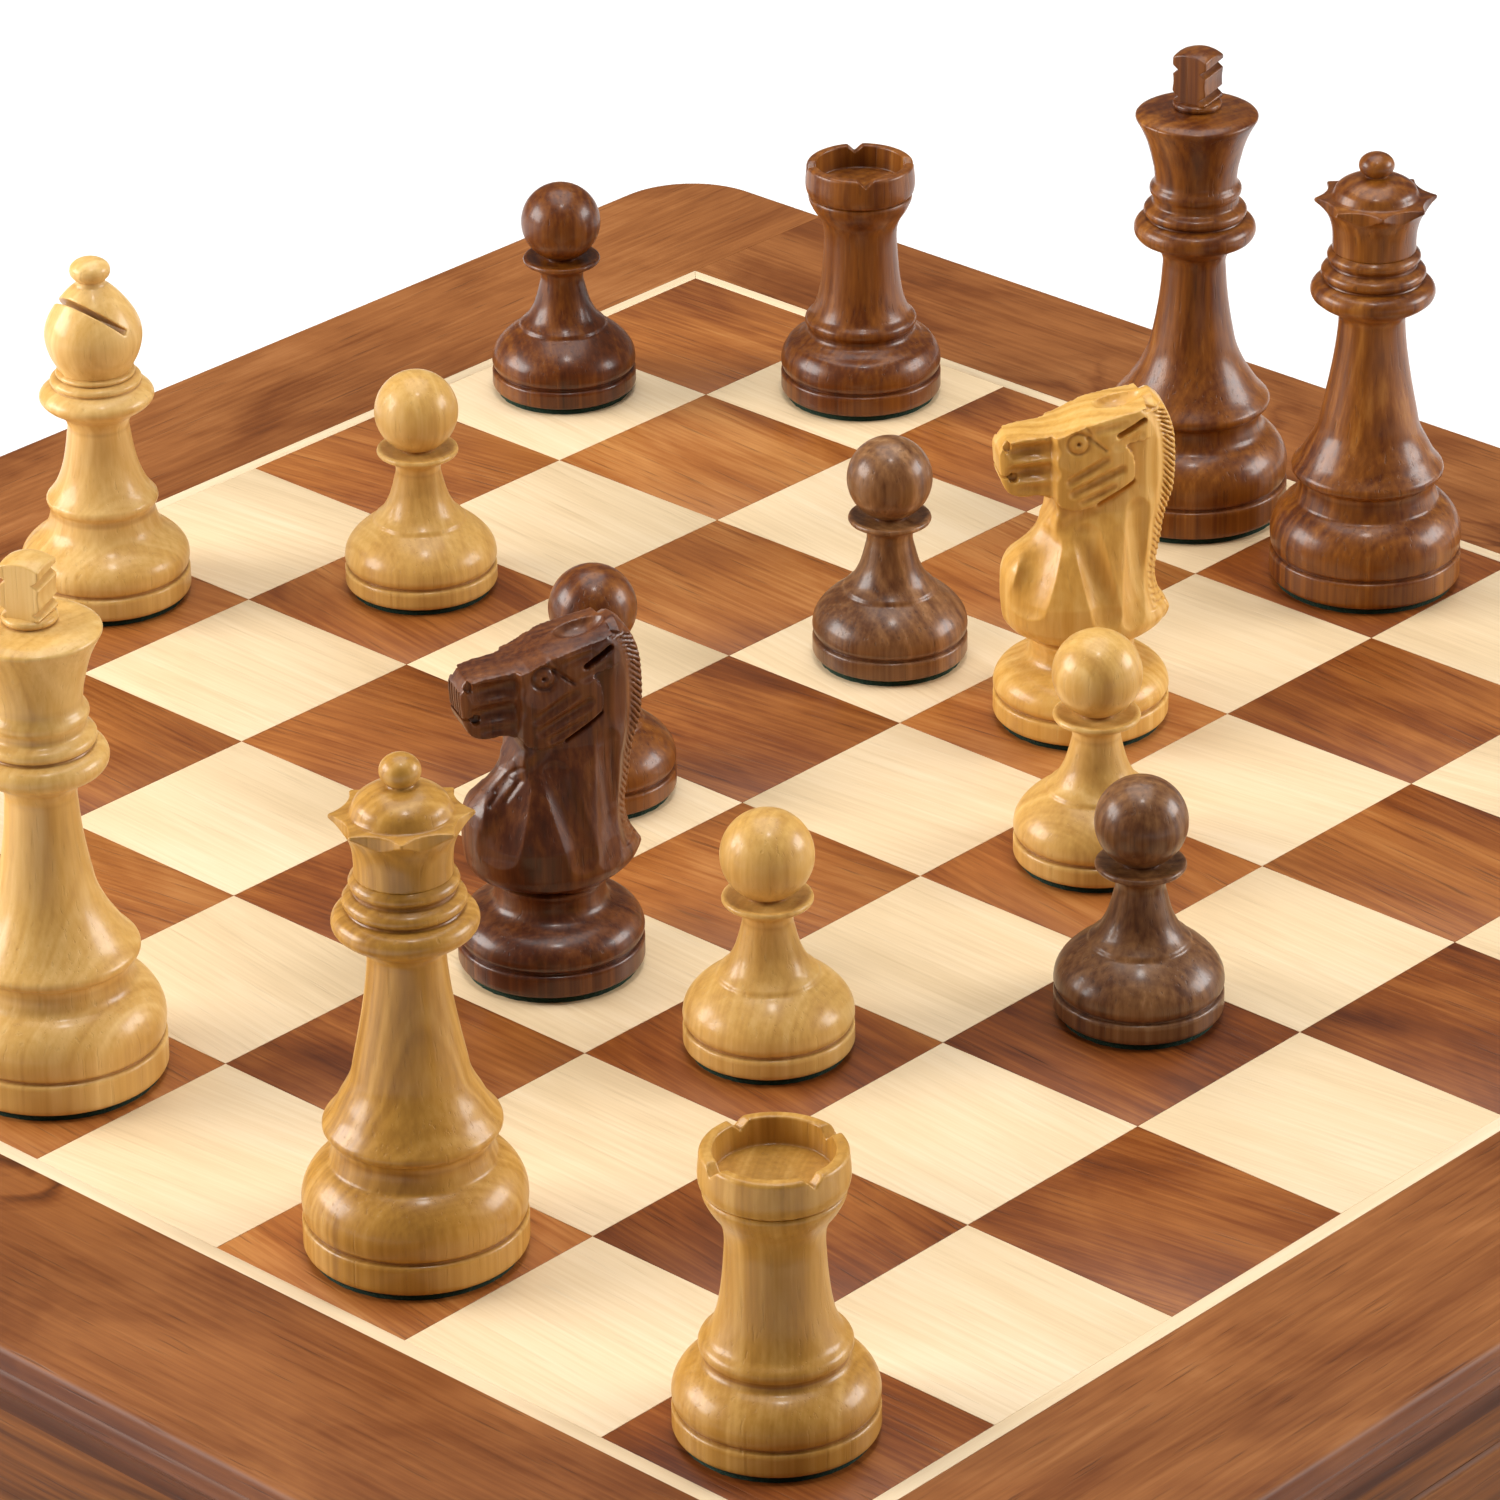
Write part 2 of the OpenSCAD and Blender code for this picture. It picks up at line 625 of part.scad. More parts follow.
module dark_stored_pads() {
  color(baize) drawer_side(180) stored_pads([7], [6], [2, 5], [0 : 3]);
}

// ---------------------------------------------------------------- men on the board

module light_king() {
  color(boxwood) translate(seat(seat_light_king)) rotate([0, 0, cross_light_yaw]) king();
}

module light_queen() {
  color(boxwood) translate(seat(seat_light_queen)) queen();
}

module light_bishop() {
  color(boxwood) translate(seat(seat_light_bishop)) rotate([0, 0, 180]) bishop();
}

module light_knight() {
  color(boxwood) translate(seat(seat_light_knight)) rotate([0, 0, knight_light_yaw]) knight();
}

module light_rook() {
  color(boxwood) translate(seat(seat_light_rook)) rotate([0, 0, 47]) rook();
}

module light_pawn_a() {
  color(boxwood) translate(seat(seat_light_pawn_a)) pawn();
}

module light_pawn_b() {
  color(boxwood) translate(seat(seat_light_pawn_b)) pawn();
}

module light_pawn_c() {
  color(boxwood) translate(seat(seat_light_pawn_c)) pawn();
}

module dark_king() {
  color(rosewood) translate(seat(seat_dark_king)) rotate([0, 0, cross_dark_yaw]) king();
}

module dark_queen() {
  color(rosewood) translate(seat(seat_dark_queen)) queen(dark_low);
}

module dark_knight() {
  color(rosewood) translate(seat(seat_dark_knight)) rotate([0, 0, knight_dark_yaw]) knight();
}

module dark_rook() {
  color(rosewood) translate(seat(seat_dark_rook)) rotate([0, 0, 20]) rook(dark_slim);
}

module dark_pawn_a() {
  color(rosewood) translate(seat(seat_dark_pawn_a)) pawn();
}

module dark_pawn_b() {
  color(rosewood) translate(seat(seat_dark_pawn_b)) pawn();
}

module dark_pawn_c() {
  color(rosewood) translate(seat(seat_dark_pawn_c)) pawn();
}

module dark_pawn_d() {
  color(rosewood) translate(seat(seat_dark_pawn_d)) pawn();
}

module light_king_pad() {
  color(baize) translate(seat(seat_light_king)) pad(king_r);
}

module light_queen_pad() {
  color(baize) translate(seat(seat_light_queen)) pad(queen_r);
}

module light_bishop_pad() {
  color(baize) translate(seat(seat_light_bishop)) pad(bishop_r);
}

module light_knight_pad() {
  color(baize) translate(seat(seat_light_knight)) pad(rook_r);
}

module light_rook_pad() {
  color(baize) translate(seat(seat_light_rook)) pad(rook_r);
}

module light_pawn_a_pad() {
  color(baize) translate(seat(seat_light_pawn_a)) pad(pawn_r);
}

module light_pawn_b_pad() {
  color(baize) translate(seat(seat_light_pawn_b)) pad(pawn_r);
}

module light_pawn_c_pad() {
  color(baize) translate(seat(seat_light_pawn_c)) pad(pawn_r);
}

module dark_king_pad() {
  color(baize) translate(seat(seat_dark_king)) pad(king_r);
}

module dark_queen_pad() {
  color(baize) translate(seat(seat_dark_queen)) pad(queen_r);
}

module dark_knight_pad() {
  color(baize) translate(seat(seat_dark_knight)) pad(rook_r);
}

module dark_rook_pad() {
  color(baize) translate(seat(seat_dark_rook)) pad(rook_r);
}

module dark_pawn_a_pad() {
  color(baize) translate(seat(seat_dark_pawn_a)) pad(pawn_r);
}

module dark_pawn_b_pad() {
  color(baize) translate(seat(seat_dark_pawn_b)) pad(pawn_r);
}

module dark_pawn_c_pad() {
  color(baize) translate(seat(seat_dark_pawn_c)) pad(pawn_r);
}

module dark_pawn_d_pad() {
  color(baize) translate(seat(seat_dark_pawn_d)) pad(pawn_r);
}

board_core();
light_squares();
dark_squares();
inlay_line();
border_strips();
under_moulding();
side_panels();
corner_posts();
cross_rails();
case_bottom();
centre_divider();
drawer_runners();
feet();
front_drawer_face();
front_drawer_box();
front_drawer_lining();
front_drawer_slats();
front_drawer_knobs();
back_drawer_face();
back_drawer_box();
back_drawer_lining();
back_drawer_slats();
back_drawer_knobs();
light_stored_men();
light_stored_pads();
dark_stored_men();
dark_stored_pads();
light_king();
light_queen();
light_bishop();
light_knight();
light_rook();
light_pawn_a();
light_pawn_b();
light_pawn_c();
dark_king();
dark_queen();
dark_knight();
dark_rook();
dark_pawn_a();
dark_pawn_b();
dark_pawn_c();
dark_pawn_d();
light_king_pad();
light_queen_pad();
light_bishop_pad();
light_knight_pad();
light_rook_pad();
light_pawn_a_pad();
light_pawn_b_pad();
light_pawn_c_pad();
dark_king_pad();
dark_queen_pad();
dark_knight_pad();
dark_rook_pad();
dark_pawn_a_pad();
dark_pawn_b_pad();
dark_pawn_c_pad();
dark_pawn_d_pad();
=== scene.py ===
import math

import bmesh
import bpy
import numpy as np
from mathutils import Matrix, Vector


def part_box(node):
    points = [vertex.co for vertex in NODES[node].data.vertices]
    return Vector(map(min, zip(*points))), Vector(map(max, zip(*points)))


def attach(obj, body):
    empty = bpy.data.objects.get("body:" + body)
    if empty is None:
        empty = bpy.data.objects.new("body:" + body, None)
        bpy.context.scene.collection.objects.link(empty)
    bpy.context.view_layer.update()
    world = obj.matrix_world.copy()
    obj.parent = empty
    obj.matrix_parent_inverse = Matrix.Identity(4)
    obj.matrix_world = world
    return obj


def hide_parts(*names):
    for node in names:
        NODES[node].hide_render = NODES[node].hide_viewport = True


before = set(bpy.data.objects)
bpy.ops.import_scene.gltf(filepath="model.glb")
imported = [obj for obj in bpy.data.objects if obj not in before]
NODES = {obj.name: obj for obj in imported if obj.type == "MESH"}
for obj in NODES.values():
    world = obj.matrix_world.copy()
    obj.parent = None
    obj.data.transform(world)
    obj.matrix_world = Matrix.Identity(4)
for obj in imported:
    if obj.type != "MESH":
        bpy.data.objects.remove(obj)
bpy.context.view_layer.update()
MM = 0.001

# ---- camera, stage and light

scene = bpy.context.scene
scene.view_settings.view_transform = "Standard"


def aim(obj, place, target):
    obj.location = place
    obj.rotation_euler = (Vector(target) - Vector(place)).to_track_quat("-Z", "Y").to_euler()


def add_camera():
    data = bpy.data.cameras.new("camera")
    data.sensor_width = 36
    data.lens = 170.8578
    data.clip_start, data.clip_end = 0.05, 50
    cam = bpy.data.objects.new("camera", data)
    scene.collection.objects.link(cam)
    right = (0.67712743, -0.73579182, -0.01043314)
    up = (0.33766718, 0.29808541, 0.89281911)
    back = (-0.65381903, -0.60807524, 0.45029455)
    place = (-0.8777232, -0.8184760, 0.7063563)
    cam.matrix_world = Matrix.Translation(place) @ Matrix((right, up, back)).transposed().to_4x4()
    scene.camera = cam


def add_light(name, place, target, size, power, colour=(1, 1, 1), shape="RECTANGLE", size_y=None):
    data = bpy.data.lights.new(name, "AREA")
    data.shape = shape
    data.size = size
    if shape == "RECTANGLE":
        data.size_y = size_y or size
    data.energy = power
    data.color = colour
    obj = bpy.data.objects.new(name, data)
    scene.collection.objects.link(obj)
    aim(obj, place, target)


# ---- node helpers

class Graph:
    """A material's node tree, written as nested calls."""

    def __init__(self, name):
        self.mat = bpy.data.materials.new(name)
        self.mat.use_nodes = True
        self.tree = self.mat.node_tree
        self.tree.nodes.clear()
        self.out = self.tree.nodes.new("ShaderNodeOutputMaterial")
        self.bsdf = self.tree.nodes.new("ShaderNodeBsdfPrincipled")
        self.tree.links.new(self.bsdf.outputs[0], self.out.inputs[0])

    def put(self, socket, value):
        if isinstance(value, bpy.types.NodeSocket):
            self.tree.links.new(value, socket)
        elif value is not None:
            socket.default_value = value

    def shade(self, **inputs):
        for key, value in inputs.items():
            self.put(self.bsdf.inputs[key.replace("_", " ")], value)

    def node(self, kind, inputs=(), out=0, **props):
        n = self.tree.nodes.new("ShaderNode" + kind)
        for key, value in props.items():
            setattr(n, key, value)
        for key, value in dict(inputs).items():
            self.put(n.inputs[key], value)
        return n.outputs[out]

    def math(self, op, a, b=None, c=None, clamp=False):
        return self.node("Math", enumerate((a, b, c)), operation=op, use_clamp=clamp)

    def vec(self, op, a, b=None):
        return self.node("VectorMath", enumerate((a, b)), operation=op)

    def add(self, a, b, clamp=False):
        return self.math("ADD", a, b, clamp=clamp)

    def mul(self, a, b):
        return self.math("MULTIPLY", a, b)

    def muladd(self, a, b, c, clamp=False):
        return self.math("MULTIPLY_ADD", a, b, c, clamp)

    def shift(self, v, by):
        return self.vec("ADD", v, by)

    def scale(self, v, by):
        return self.vec("MULTIPLY", v, by)

    def split(self, v):
        n = self.tree.nodes.new("ShaderNodeSeparateXYZ")
        self.put(n.inputs[0], v)
        return n.outputs

    def join(self, x, y, z):
        return self.node("CombineXYZ", enumerate((x, y, z)))

    def noise(self, v, scale, detail=4, rough=0.55, warp=0.0):
        return self.node("TexNoise", {"Vector": v, "Scale": scale, "Detail": detail,
                                      "Roughness": rough, "Distortion": warp})

    def fit(self, value, a, b, lo=0.0, hi=1.0):
        return self.node("MapRange", {"Value": value, "From Min": a, "From Max": b,
                                      "To Min": lo, "To Max": hi})

    def ramp(self, value, stops):
        n = self.tree.nodes.new("ShaderNodeValToRGB")
        self.put(n.inputs[0], value)
        e = n.color_ramp.elements
        while len(e) < len(stops):
            e.new(0.5)
        for item, (at, colour) in zip(e, stops):
            item.position = at
            item.color = (*colour, 1)
        return n.outputs[0]

    def mix(self, fac, a, b, blend="MIX"):
        a, b = ((*value, 1) if isinstance(value, tuple) else value for value in (a, b))
        return self.node("Mix", {0: fac, 6: a, 7: b}, 2, data_type="RGBA", blend_type=blend)

    def bump(self, height, distance, normal=None):
        return self.node("Bump", {"Height": height, "Distance": distance, "Normal": normal})


def rgb(r, g, b):
    """Linear colour from eight-bit display values."""
    return tuple(((v / 255 + 0.055) / 1.055) ** 2.4 if v > 10 else v / 3294.6 for v in (r, g, b))


def shuffled(g):
    """Object coordinates moved by the piece's own seed, so that no two pieces share a grain."""
    seed = g.node("Attribute", out=2, attribute_type="OBJECT", attribute_name="seed")
    shift = g.scale(g.join(seed, seed, seed), (1.37, 2.71, 0.83))
    return g.node("TexCoord", out=3), shift


def swap_axes(g, p, axis):
    """Coordinates with the grain along Z."""
    x, y, z = g.split(p)
    if axis == "X":
        return g.join(y, z, x)
    if axis == "Y":
        return g.join(x, z, y)
    if axis == "MITRE":
        side = g.math("GREATER_THAN", g.math("ABSOLUTE", x), g.math("ABSOLUTE", y))
        across = g.node("Mix", {0: side, 2: y, 3: x})
        along = g.node("Mix", {0: side, 2: x, 3: y})
        return g.join(across, z, along)
    return p


PORE_DEPTH = 0.04 * MM


def wood(name, shades, axis="Z", ring=90.0, ring_mix=0.5, figure=0.012, streak=0.3, fibre=900.0,
         mottle=0.25, pores=0.25, pore_dark=0.6, rough=(0.25, 0.4), coat=0.0, coat_rough=0.15,
         unevenness=0.0, tone=0.12, specular=0.5, cells=None, swirl=0.0, gain=1.0, run=0.02):
    """Sawn or turned timber: growth rings about an off-centre heart, fibres, pores and broad mottling."""
    g = Graph(name)
    p, shift = shuffled(g)
    q = swap_axes(g, p, axis)
    if cells:
        low, size = cells
        x, y, z = g.split(p)
        i = g.math("FLOOR", g.math("DIVIDE", g.math("SUBTRACT", x, low), size))
        j = g.math("FLOOR", g.math("DIVIDE", g.math("SUBTRACT", y, low), size))
        cell = g.node("TexWhiteNoise", {"Vector": g.join(i, j, 3.0)}, out=1)
        own = g.node("TexWhiteNoise", {"Vector": g.join(j, i, 7.0)}, out=0)
        shift = g.shift(shift, g.scale(cell, (1.3, 0.4, 3.1)))
        turn = g.fit(g.split(cell)[1], 0, 1, -0.16, 0.16)
        q = g.node("VectorRotate", {"Vector": q, "Axis": (0, 1, 0), "Angle": turn})
    else:
        own = g.noise(shift, 5.0, 1)
    q = g.shift(q, shift)
    slow = g.noise(g.scale(q, (9, 9, 2.2)), 1.0, 3, 0.5)
    slow_b = g.noise(g.scale(g.shift(q, (3.1, 1.7, 0.4)), (11, 11, 3.1)), 1.0, 3, 0.5)
    bend = g.join(g.fit(slow, 0.3, 0.7, -figure, figure), g.fit(slow_b, 0.3, 0.7, -figure, figure), 0.0)
    x, y, z = g.split(g.shift(g.vec("SUBTRACT", q, shift), bend))
    heart = g.split(g.scale(shift, (0.013, 0.017, 0.0)))
    rx = g.add(x, g.add(heart[0], 0.019))
    ry = g.add(y, g.add(heart[1], 0.031))
    radius = g.math("SQRT", g.add(g.mul(rx, rx), g.mul(ry, ry)))
    rings = g.join(g.mul(radius, ring * 4), 0.0, g.mul(z, 1.5))
    wave = g.noise(rings, 1.0, 2.5, 0.65)
    fine = g.noise(g.scale(q, (fibre, fibre, fibre * run)), 1.0, 3, 0.6)
    broad = g.noise(g.scale(q, (45, 45, 600 * run)), 1.0, 4, 0.6, 0.6)
    value = g.mul(g.fit(wave, 0.3, 0.7), ring_mix)
    value = g.muladd(g.fit(fine, 0.3, 0.7), streak, value)
    value = g.muladd(g.fit(broad, 0.3, 0.7), mottle, value)
    value = g.math("DIVIDE", value, ring_mix + streak + mottle)
    value = g.add(value, g.fit(own, 0, 1, -tone, tone), clamp=True)
    value = g.muladd(g.math("SUBTRACT", value, 0.5), gain, 0.5, clamp=True)
    if swirl:
        curl = g.noise(g.scale(q, (16, 16, 9)), 1.0, 4, 0.5, 3.0)
        eye = g.fit(g.math("ABSOLUTE", g.math("SUBTRACT", curl, 0.5)), 0.0, 0.05, 1.0, 0.0)
        where = g.fit(g.noise(g.scale(q, (12, 12, 7)), 1.0, 2, 0.5), 0.52, 0.66)
        dark = g.mul(g.mul(eye, where), 0.3 * swirl)
        value = g.math("SUBTRACT", value, dark, clamp=True)
    colour = g.ramp(value, shades)
    pits = g.noise(g.scale(q, (1500, 1500, 55)), 1.0, 2, 0.5)
    pit = g.fit(pits, 0.62, 0.72)
    colour = g.mix(g.mul(pit, pores), colour, g.mix(pore_dark, colour, (0, 0, 0)))
    # painted shade: grooves, hollows and the lip under the top's arris are darkened towards brown,
    # standing in for the shade that falls there
    painted_shade = g.node("Attribute", out=2, attribute_name="painted_shade")
    shaded_colour = g.mix(1.0, colour, rgb(150, 95, 60), "MULTIPLY")
    colour = g.mix(g.mul(painted_shade, 0.6), colour, shaded_colour)
    height = g.muladd(fine, 0.35, g.mul(pit, -1.0))
    normal = g.bump(height, PORE_DEPTH)
    if unevenness:
        waves = g.noise(g.scale(q, (150, 150, 90)), 1.0, 2, 0.5)
        normal = g.bump(waves, unevenness * MM, normal)
    sheen = g.muladd(broad, 0.6, g.mul(fine, 0.4))
    g.shade(Base_Color=colour, Roughness=g.fit(sheen, 0.3, 0.7, *rough), Normal=normal,
            Specular_IOR_Level=specular, Coat_Weight=coat, Coat_Roughness=coat_rough)
    return g.mat


def cloth(name, deep, light):
    """Pressed wool cloth with a short nap."""
    g = Graph(name)
    p, shift = shuffled(g)
    q = g.shift(p, shift)
    nap = g.noise(q, 2600.0, 3, 0.7)
    wisps = g.noise(g.scale(q, (700, 260, 500)), 1.0, 3, 0.65, 1.2)
    patch = g.noise(q, 70.0, 3, 0.6)
    value = g.muladd(patch, 0.25, g.mul(nap, 0.35))
    value = g.muladd(wisps, 0.4, value)
    g.shade(Base_Color=g.ramp(value, ((0.35, deep), (0.65, light))),
            Roughness=g.fit(nap, 0.3, 0.7, 0.85, 1.0),
            Normal=g.bump(g.add(nap, wisps), 0.25 * MM), Specular_IOR_Level=0.2,
            Sheen_Weight=0.35, Sheen_Roughness=0.5)
    g.bsdf.inputs["Sheen Tint"].default_value = (0.35, 0.6, 0.45, 1)
    return g.mat


def metal(name, bright, dull):
    """Turned brass: fine lathe lines, light tarnish."""
    g = Graph(name)
    p, shift = shuffled(g)
    q = g.shift(p, shift)
    lines = g.noise(g.scale(q, (400, 9000, 400)), 1.0, 2, 0.5)
    stain = g.noise(q, 160.0, 5, 0.65, 0.5)
    dulled = g.muladd(stain, 0.7, g.mul(lines, 0.3))
    g.shade(Base_Color=g.ramp(g.fit(stain, 0.35, 0.7), ((0.0, bright), (1.0, dull))), Metallic=1.0,
            Roughness=g.fit(dulled, 0.3, 0.7, 0.16, 0.36),
            Normal=g.bump(lines, 0.015 * MM))
    return g.mat


def floor_material():
    """A plain pale studio floor."""
    g = Graph("stage_floor")
    p = g.node("TexCoord", out=3)
    grain = g.noise(p, 60.0, 4, 0.6)
    g.shade(Base_Color=g.ramp(grain, ((0.3, (0.90, 0.90, 0.90)), (0.7, (0.94, 0.94, 0.94)))),
            Roughness=0.8, Specular_IOR_Level=0.1)
    return g.mat


# ---- mesh helpers

def new_object(name, mesh, material, seed=0.0, matrix=None):
    obj = bpy.data.objects.new(name, mesh)
    scene.collection.objects.link(obj)
    mesh.materials.clear()
    mesh.materials.append(material)
    obj["seed"] = float(seed)
    if matrix is not None:
        obj.matrix_world = matrix
    return obj


def mesh_of(name, *parts, sharp=38.0):
    """One mesh from several parts, each made of vertices in millimetres, faces and groove depths."""
    verts, faces, dark, base = [], [], [], 0
    for v, f, d in parts:
        verts += [tuple(q) for q in np.asarray(v, float) * MM]
        faces += [tuple(int(i) + base for i in q) for q in f]
        dark += list(d)
        base = len(verts)
    mesh = bpy.data.meshes.new(name)
    mesh.from_pydata(verts, [], faces)
    # the amount of painted shade at each point, read by the wood finishes
    layer = mesh.attributes.new("painted_shade", "FLOAT", "POINT")
    layer.data.foreach_set("value", np.asarray(dark, np.float32))
    mesh.update()
    mesh.shade_smooth()
    mesh.set_sharp_from_angle(angle=math.radians(sharp))
    return mesh


def arc(rc, zc, rr, rz, a0, a1, n):
    """Points on part of an ellipse about (rc, zc), from a0 to a1 degrees."""
    return [(rc + rr * math.cos(math.radians(a0 + (a1 - a0) * i / n)),
             zc + rz * math.sin(math.radians(a0 + (a1 - a0) * i / n))) for i in range(n + 1)]


def tangent(chord, side):
    """A curve's direction where two chords meet, scaled to the first."""
    length, other = np.hypot(*chord), max(np.hypot(*side), 1e-6)
    return (chord / length * other + side / other * length) / (other + length) * length


def refine(points, corner=33.0, step=0.7, round_off=0.22):
    """A profile drawn finer: a smooth curve through gentle bends, a small round at each sharp corner."""
    p = np.array(points, float)
    keep = [0] + [i for i in range(1, len(p)) if np.hypot(*(p[i] - p[i - 1])) > 1e-4]
    p = p[keep]
    n = len(p)
    turn = np.zeros(n)
    for i in range(1, n - 1):
        a, b = p[i] - p[i - 1], p[i + 1] - p[i]
        turn[i] = math.degrees(math.atan2(a[0] * b[1] - a[1] * b[0], a @ b))
    sharp = np.abs(turn) > corner
    out = [tuple(p[0])]
    for i in range(n - 1):
        a, b = p[i], p[i + 1]
        length = np.hypot(*(b - a))
        before = p[i - 1] if i > 0 and not sharp[i] else a - (b - a)
        after = p[i + 2] if i < n - 2 and not sharp[i + 1] else b + (b - a)
        ta, tb = tangent(b - a, a - before), tangent(b - a, after - b)
        count = max(1, int(math.ceil(length / step)))
        start = min(round_off, 0.35 * length) / length if i > 0 and sharp[i] else 0.0
        end = 1 - (min(round_off, 0.35 * length) / length if i < n - 2 and sharp[i + 1] else 0.0)
        for k in range(count + 1):
            t = start + (end - start) * k / count
            q = ((2 * t ** 3 - 3 * t ** 2 + 1) * a + (t ** 3 - 2 * t ** 2 + t) * ta
                 + (3 * t ** 2 - 2 * t ** 3) * b + (t ** 3 - t ** 2) * tb)
            if np.hypot(*(q - np.array(out[-1]))) > 1e-3:
                out.append((max(q[0], 0.0) if abs(q[0]) < 0.3 and p[i][0] >= 0 else q[0], q[1]))
    out = np.array(out)
    return out, hollow_of(out)


def hollow_of(profile, reach=1.6):
    """How deep each profile point lies in a groove, from 0 to 1; this sets the painted shade in the
    groove.
    """
    r, z = profile[:, 0], profile[:, 1]
    s = np.concatenate([[0], np.cumsum(np.hypot(np.diff(r), np.diff(z)))])
    out = np.zeros(len(r))
    for i in range(len(r)):
        near = np.abs(s - s[i]) < reach
        low = near & (s < s[i])
        high = near & (s > s[i])
        if low.any() and high.any() and r[i] > 0.5:
            out[i] = max(0.0, min(r[low].max(), r[high].max()) - r[i])
    return unit(out / 0.55)


def lathe(points, sides=112, wobble=0.0, seed=1):
    """A turned solid; a wobble roughens it, for cloth."""
    profile, sink = refine(points)
    rng = np.random.default_rng(seed)
    angle = np.arange(sides) * 2 * math.pi / sides
    rows, dark = [], []
    verts, faces = [], []
    for (r, z), d in zip(profile, sink):
        if r < 1e-3:
            rows.append([len(verts)])
            verts.append((0.0, 0.0, z))
            dark.append(d)
        else:
            rows.append(list(range(len(verts), len(verts) + sides)))
            rr = np.full(sides, r)
            if wobble:
                rr = rr + wobble * rng.standard_normal(sides)
            verts += list(zip(rr * np.cos(angle), rr * np.sin(angle), np.full(sides, z)))
            dark += [d] * sides
    if len(rows[0]) > 1:
        faces.append(rows[0][::-1])
    for a, b in zip(rows, rows[1:]):
        for i in range(sides):
            j = (i + 1) % sides
            face = (a[i % len(a)], a[j % len(a)], b[j % len(b)], b[i % len(b)])
            face = tuple(dict.fromkeys(face))    # a row of one point on the axis gives a triangle
            if len(face) > 2:
                faces.append(face)
    if len(rows[-1]) > 1:
        faces.append(rows[-1])
    return verts, faces, dark


def nets(f, origin, h):
    """The surface where the field f crosses zero, as vertices in millimetres and quads."""
    inside = f < 0
    nx, ny, nz = f.shape
    count = sum(inside[i:nx - 1 + i, j:ny - 1 + j, k:nz - 1 + k].astype(np.int8)
                for i in (0, 1) for j in (0, 1) for k in (0, 1))
    active = (count > 0) & (count < 8)
    cells = np.argwhere(active)
    index = np.full(active.shape, -1, np.int64)
    index[active] = np.arange(len(cells))
    total, hits = np.zeros((len(cells), 3)), np.zeros(len(cells))
    for axis in range(3):
        step = np.eye(3, dtype=int)[axis]
        others = [a for a in range(3) if a != axis]
        for u in (0, 1):
            for v in (0, 1):
                low = np.zeros(3, int)
                low[others[0]], low[others[1]] = u, v
                a = f[tuple((cells + low).T)]
                b = f[tuple((cells + low + step).T)]
                cross = (a < 0) != (b < 0)
                t = np.where(cross, a / np.where(cross, a - b, 1), 0)
                total += cross[:, None] * (low + t[:, None] * step)
                hits += cross
    verts = np.array(origin) + (cells + total / hits[:, None]) * h
    faces = []
    for axis in range(3):
        b, c = [(1, 2), (2, 0), (0, 1)][axis]
        lead = [slice(None)] * 3
        lead[axis] = slice(0, -1)
        lead[b], lead[c] = slice(1, -1), slice(1, -1)
        tail = list(lead)
        tail[axis] = slice(1, None)
        one, two = inside[tuple(lead)], inside[tuple(tail)]
        for crossed, flip in ((one & ~two, False), (~one & two, True)):
            g = np.argwhere(crossed)
            g[:, b] += 1
            g[:, c] += 1
            eb, ec = np.eye(3, dtype=int)[b], np.eye(3, dtype=int)[c]
            quad = [index[tuple((g - o).T)] for o in (0 * eb, eb, eb + ec, ec)]
            faces.append(np.stack(quad[::-1] if flip else quad, 1))
    return verts, np.concatenate(faces)


def smooth_mesh(verts, faces, passes, amount):
    """A light relax that takes the grid's stepping out of a carved surface."""
    for _ in range(passes):
        total, hits = np.zeros_like(verts), np.zeros(len(verts))
        for a, b in ((0, 1), (1, 2), (2, 3), (3, 0)):
            for s, t in ((a, b), (b, a)):
                np.add.at(total, faces[:, s], verts[faces[:, t]])
                np.add.at(hits, faces[:, s], 1)
        verts = verts + amount * (total / hits[:, None] - verts)
    return verts


def unit(v):
    return np.clip(v, 0, 1)


def smax(a, b, k):
    """The larger of two fields, blended over a width of about k."""
    h = unit(0.5 + 0.5 * (a - b) / k)
    return b + (a - b) * h + k * h * (1 - h)


def smin(a, b, k):
    return -smax(-a, -b, k)


def polygon_distance(px, pz, poly):
    """Signed distance to a closed outline, negative inside."""
    poly = np.asarray(poly, float)
    best = np.full(px.shape, 1e9)
    crossing = np.zeros(px.shape, bool)
    for (ax, az), (bx, bz) in zip(poly, np.roll(poly, -1, 0)):
        ex, ez = bx - ax, bz - az
        wx, wz = px - ax, pz - az
        t = np.clip((wx * ex + wz * ez) / max(ex * ex + ez * ez, 1e-12), 0, 1)
        best = np.minimum(best, (wx - t * ex) ** 2 + (wz - t * ez) ** 2)
        span = (az > pz) != (bz > pz)
        with np.errstate(divide="ignore", invalid="ignore"):
            at = ax + (pz - az) / (bz - az) * ex if bz != az else 0
        crossing ^= span & (px < at)
    return np.where(crossing, -1, 1) * np.sqrt(best)


def turned_field(points, x, y, z):
    """The field of a turned form on a grid; points run up the outside and end on the axis."""
    profile, _ = refine(points, round_off=0.15)
    poly = [(-5, profile[0, 1])] + [tuple(q) for q in profile] + [(-5, profile[-1, 1])]
    cell = 0.1
    rs = np.arange(0, profile[:, 0].max() + 6, cell)
    zs = np.arange(z.min() - cell, z.max() + 0.3, cell)
    table = polygon_distance(*np.meshgrid(rs, zs, indexing="ij"), poly)
    u = np.clip(np.sqrt(x * x + y * y) / cell, 0, len(rs) - 1.001)
    v = np.clip((z - zs[0]) / cell, 0, len(zs) - 1.001)
    i, j = u.astype(int), v.astype(int)
    fu, fv = u - i, v - j
    return ((1 - fu) * (1 - fv) * table[i, j] + fu * (1 - fv) * table[i + 1, j]
            + (1 - fu) * fv * table[i, j + 1] + fu * fv * table[i + 1, j + 1])


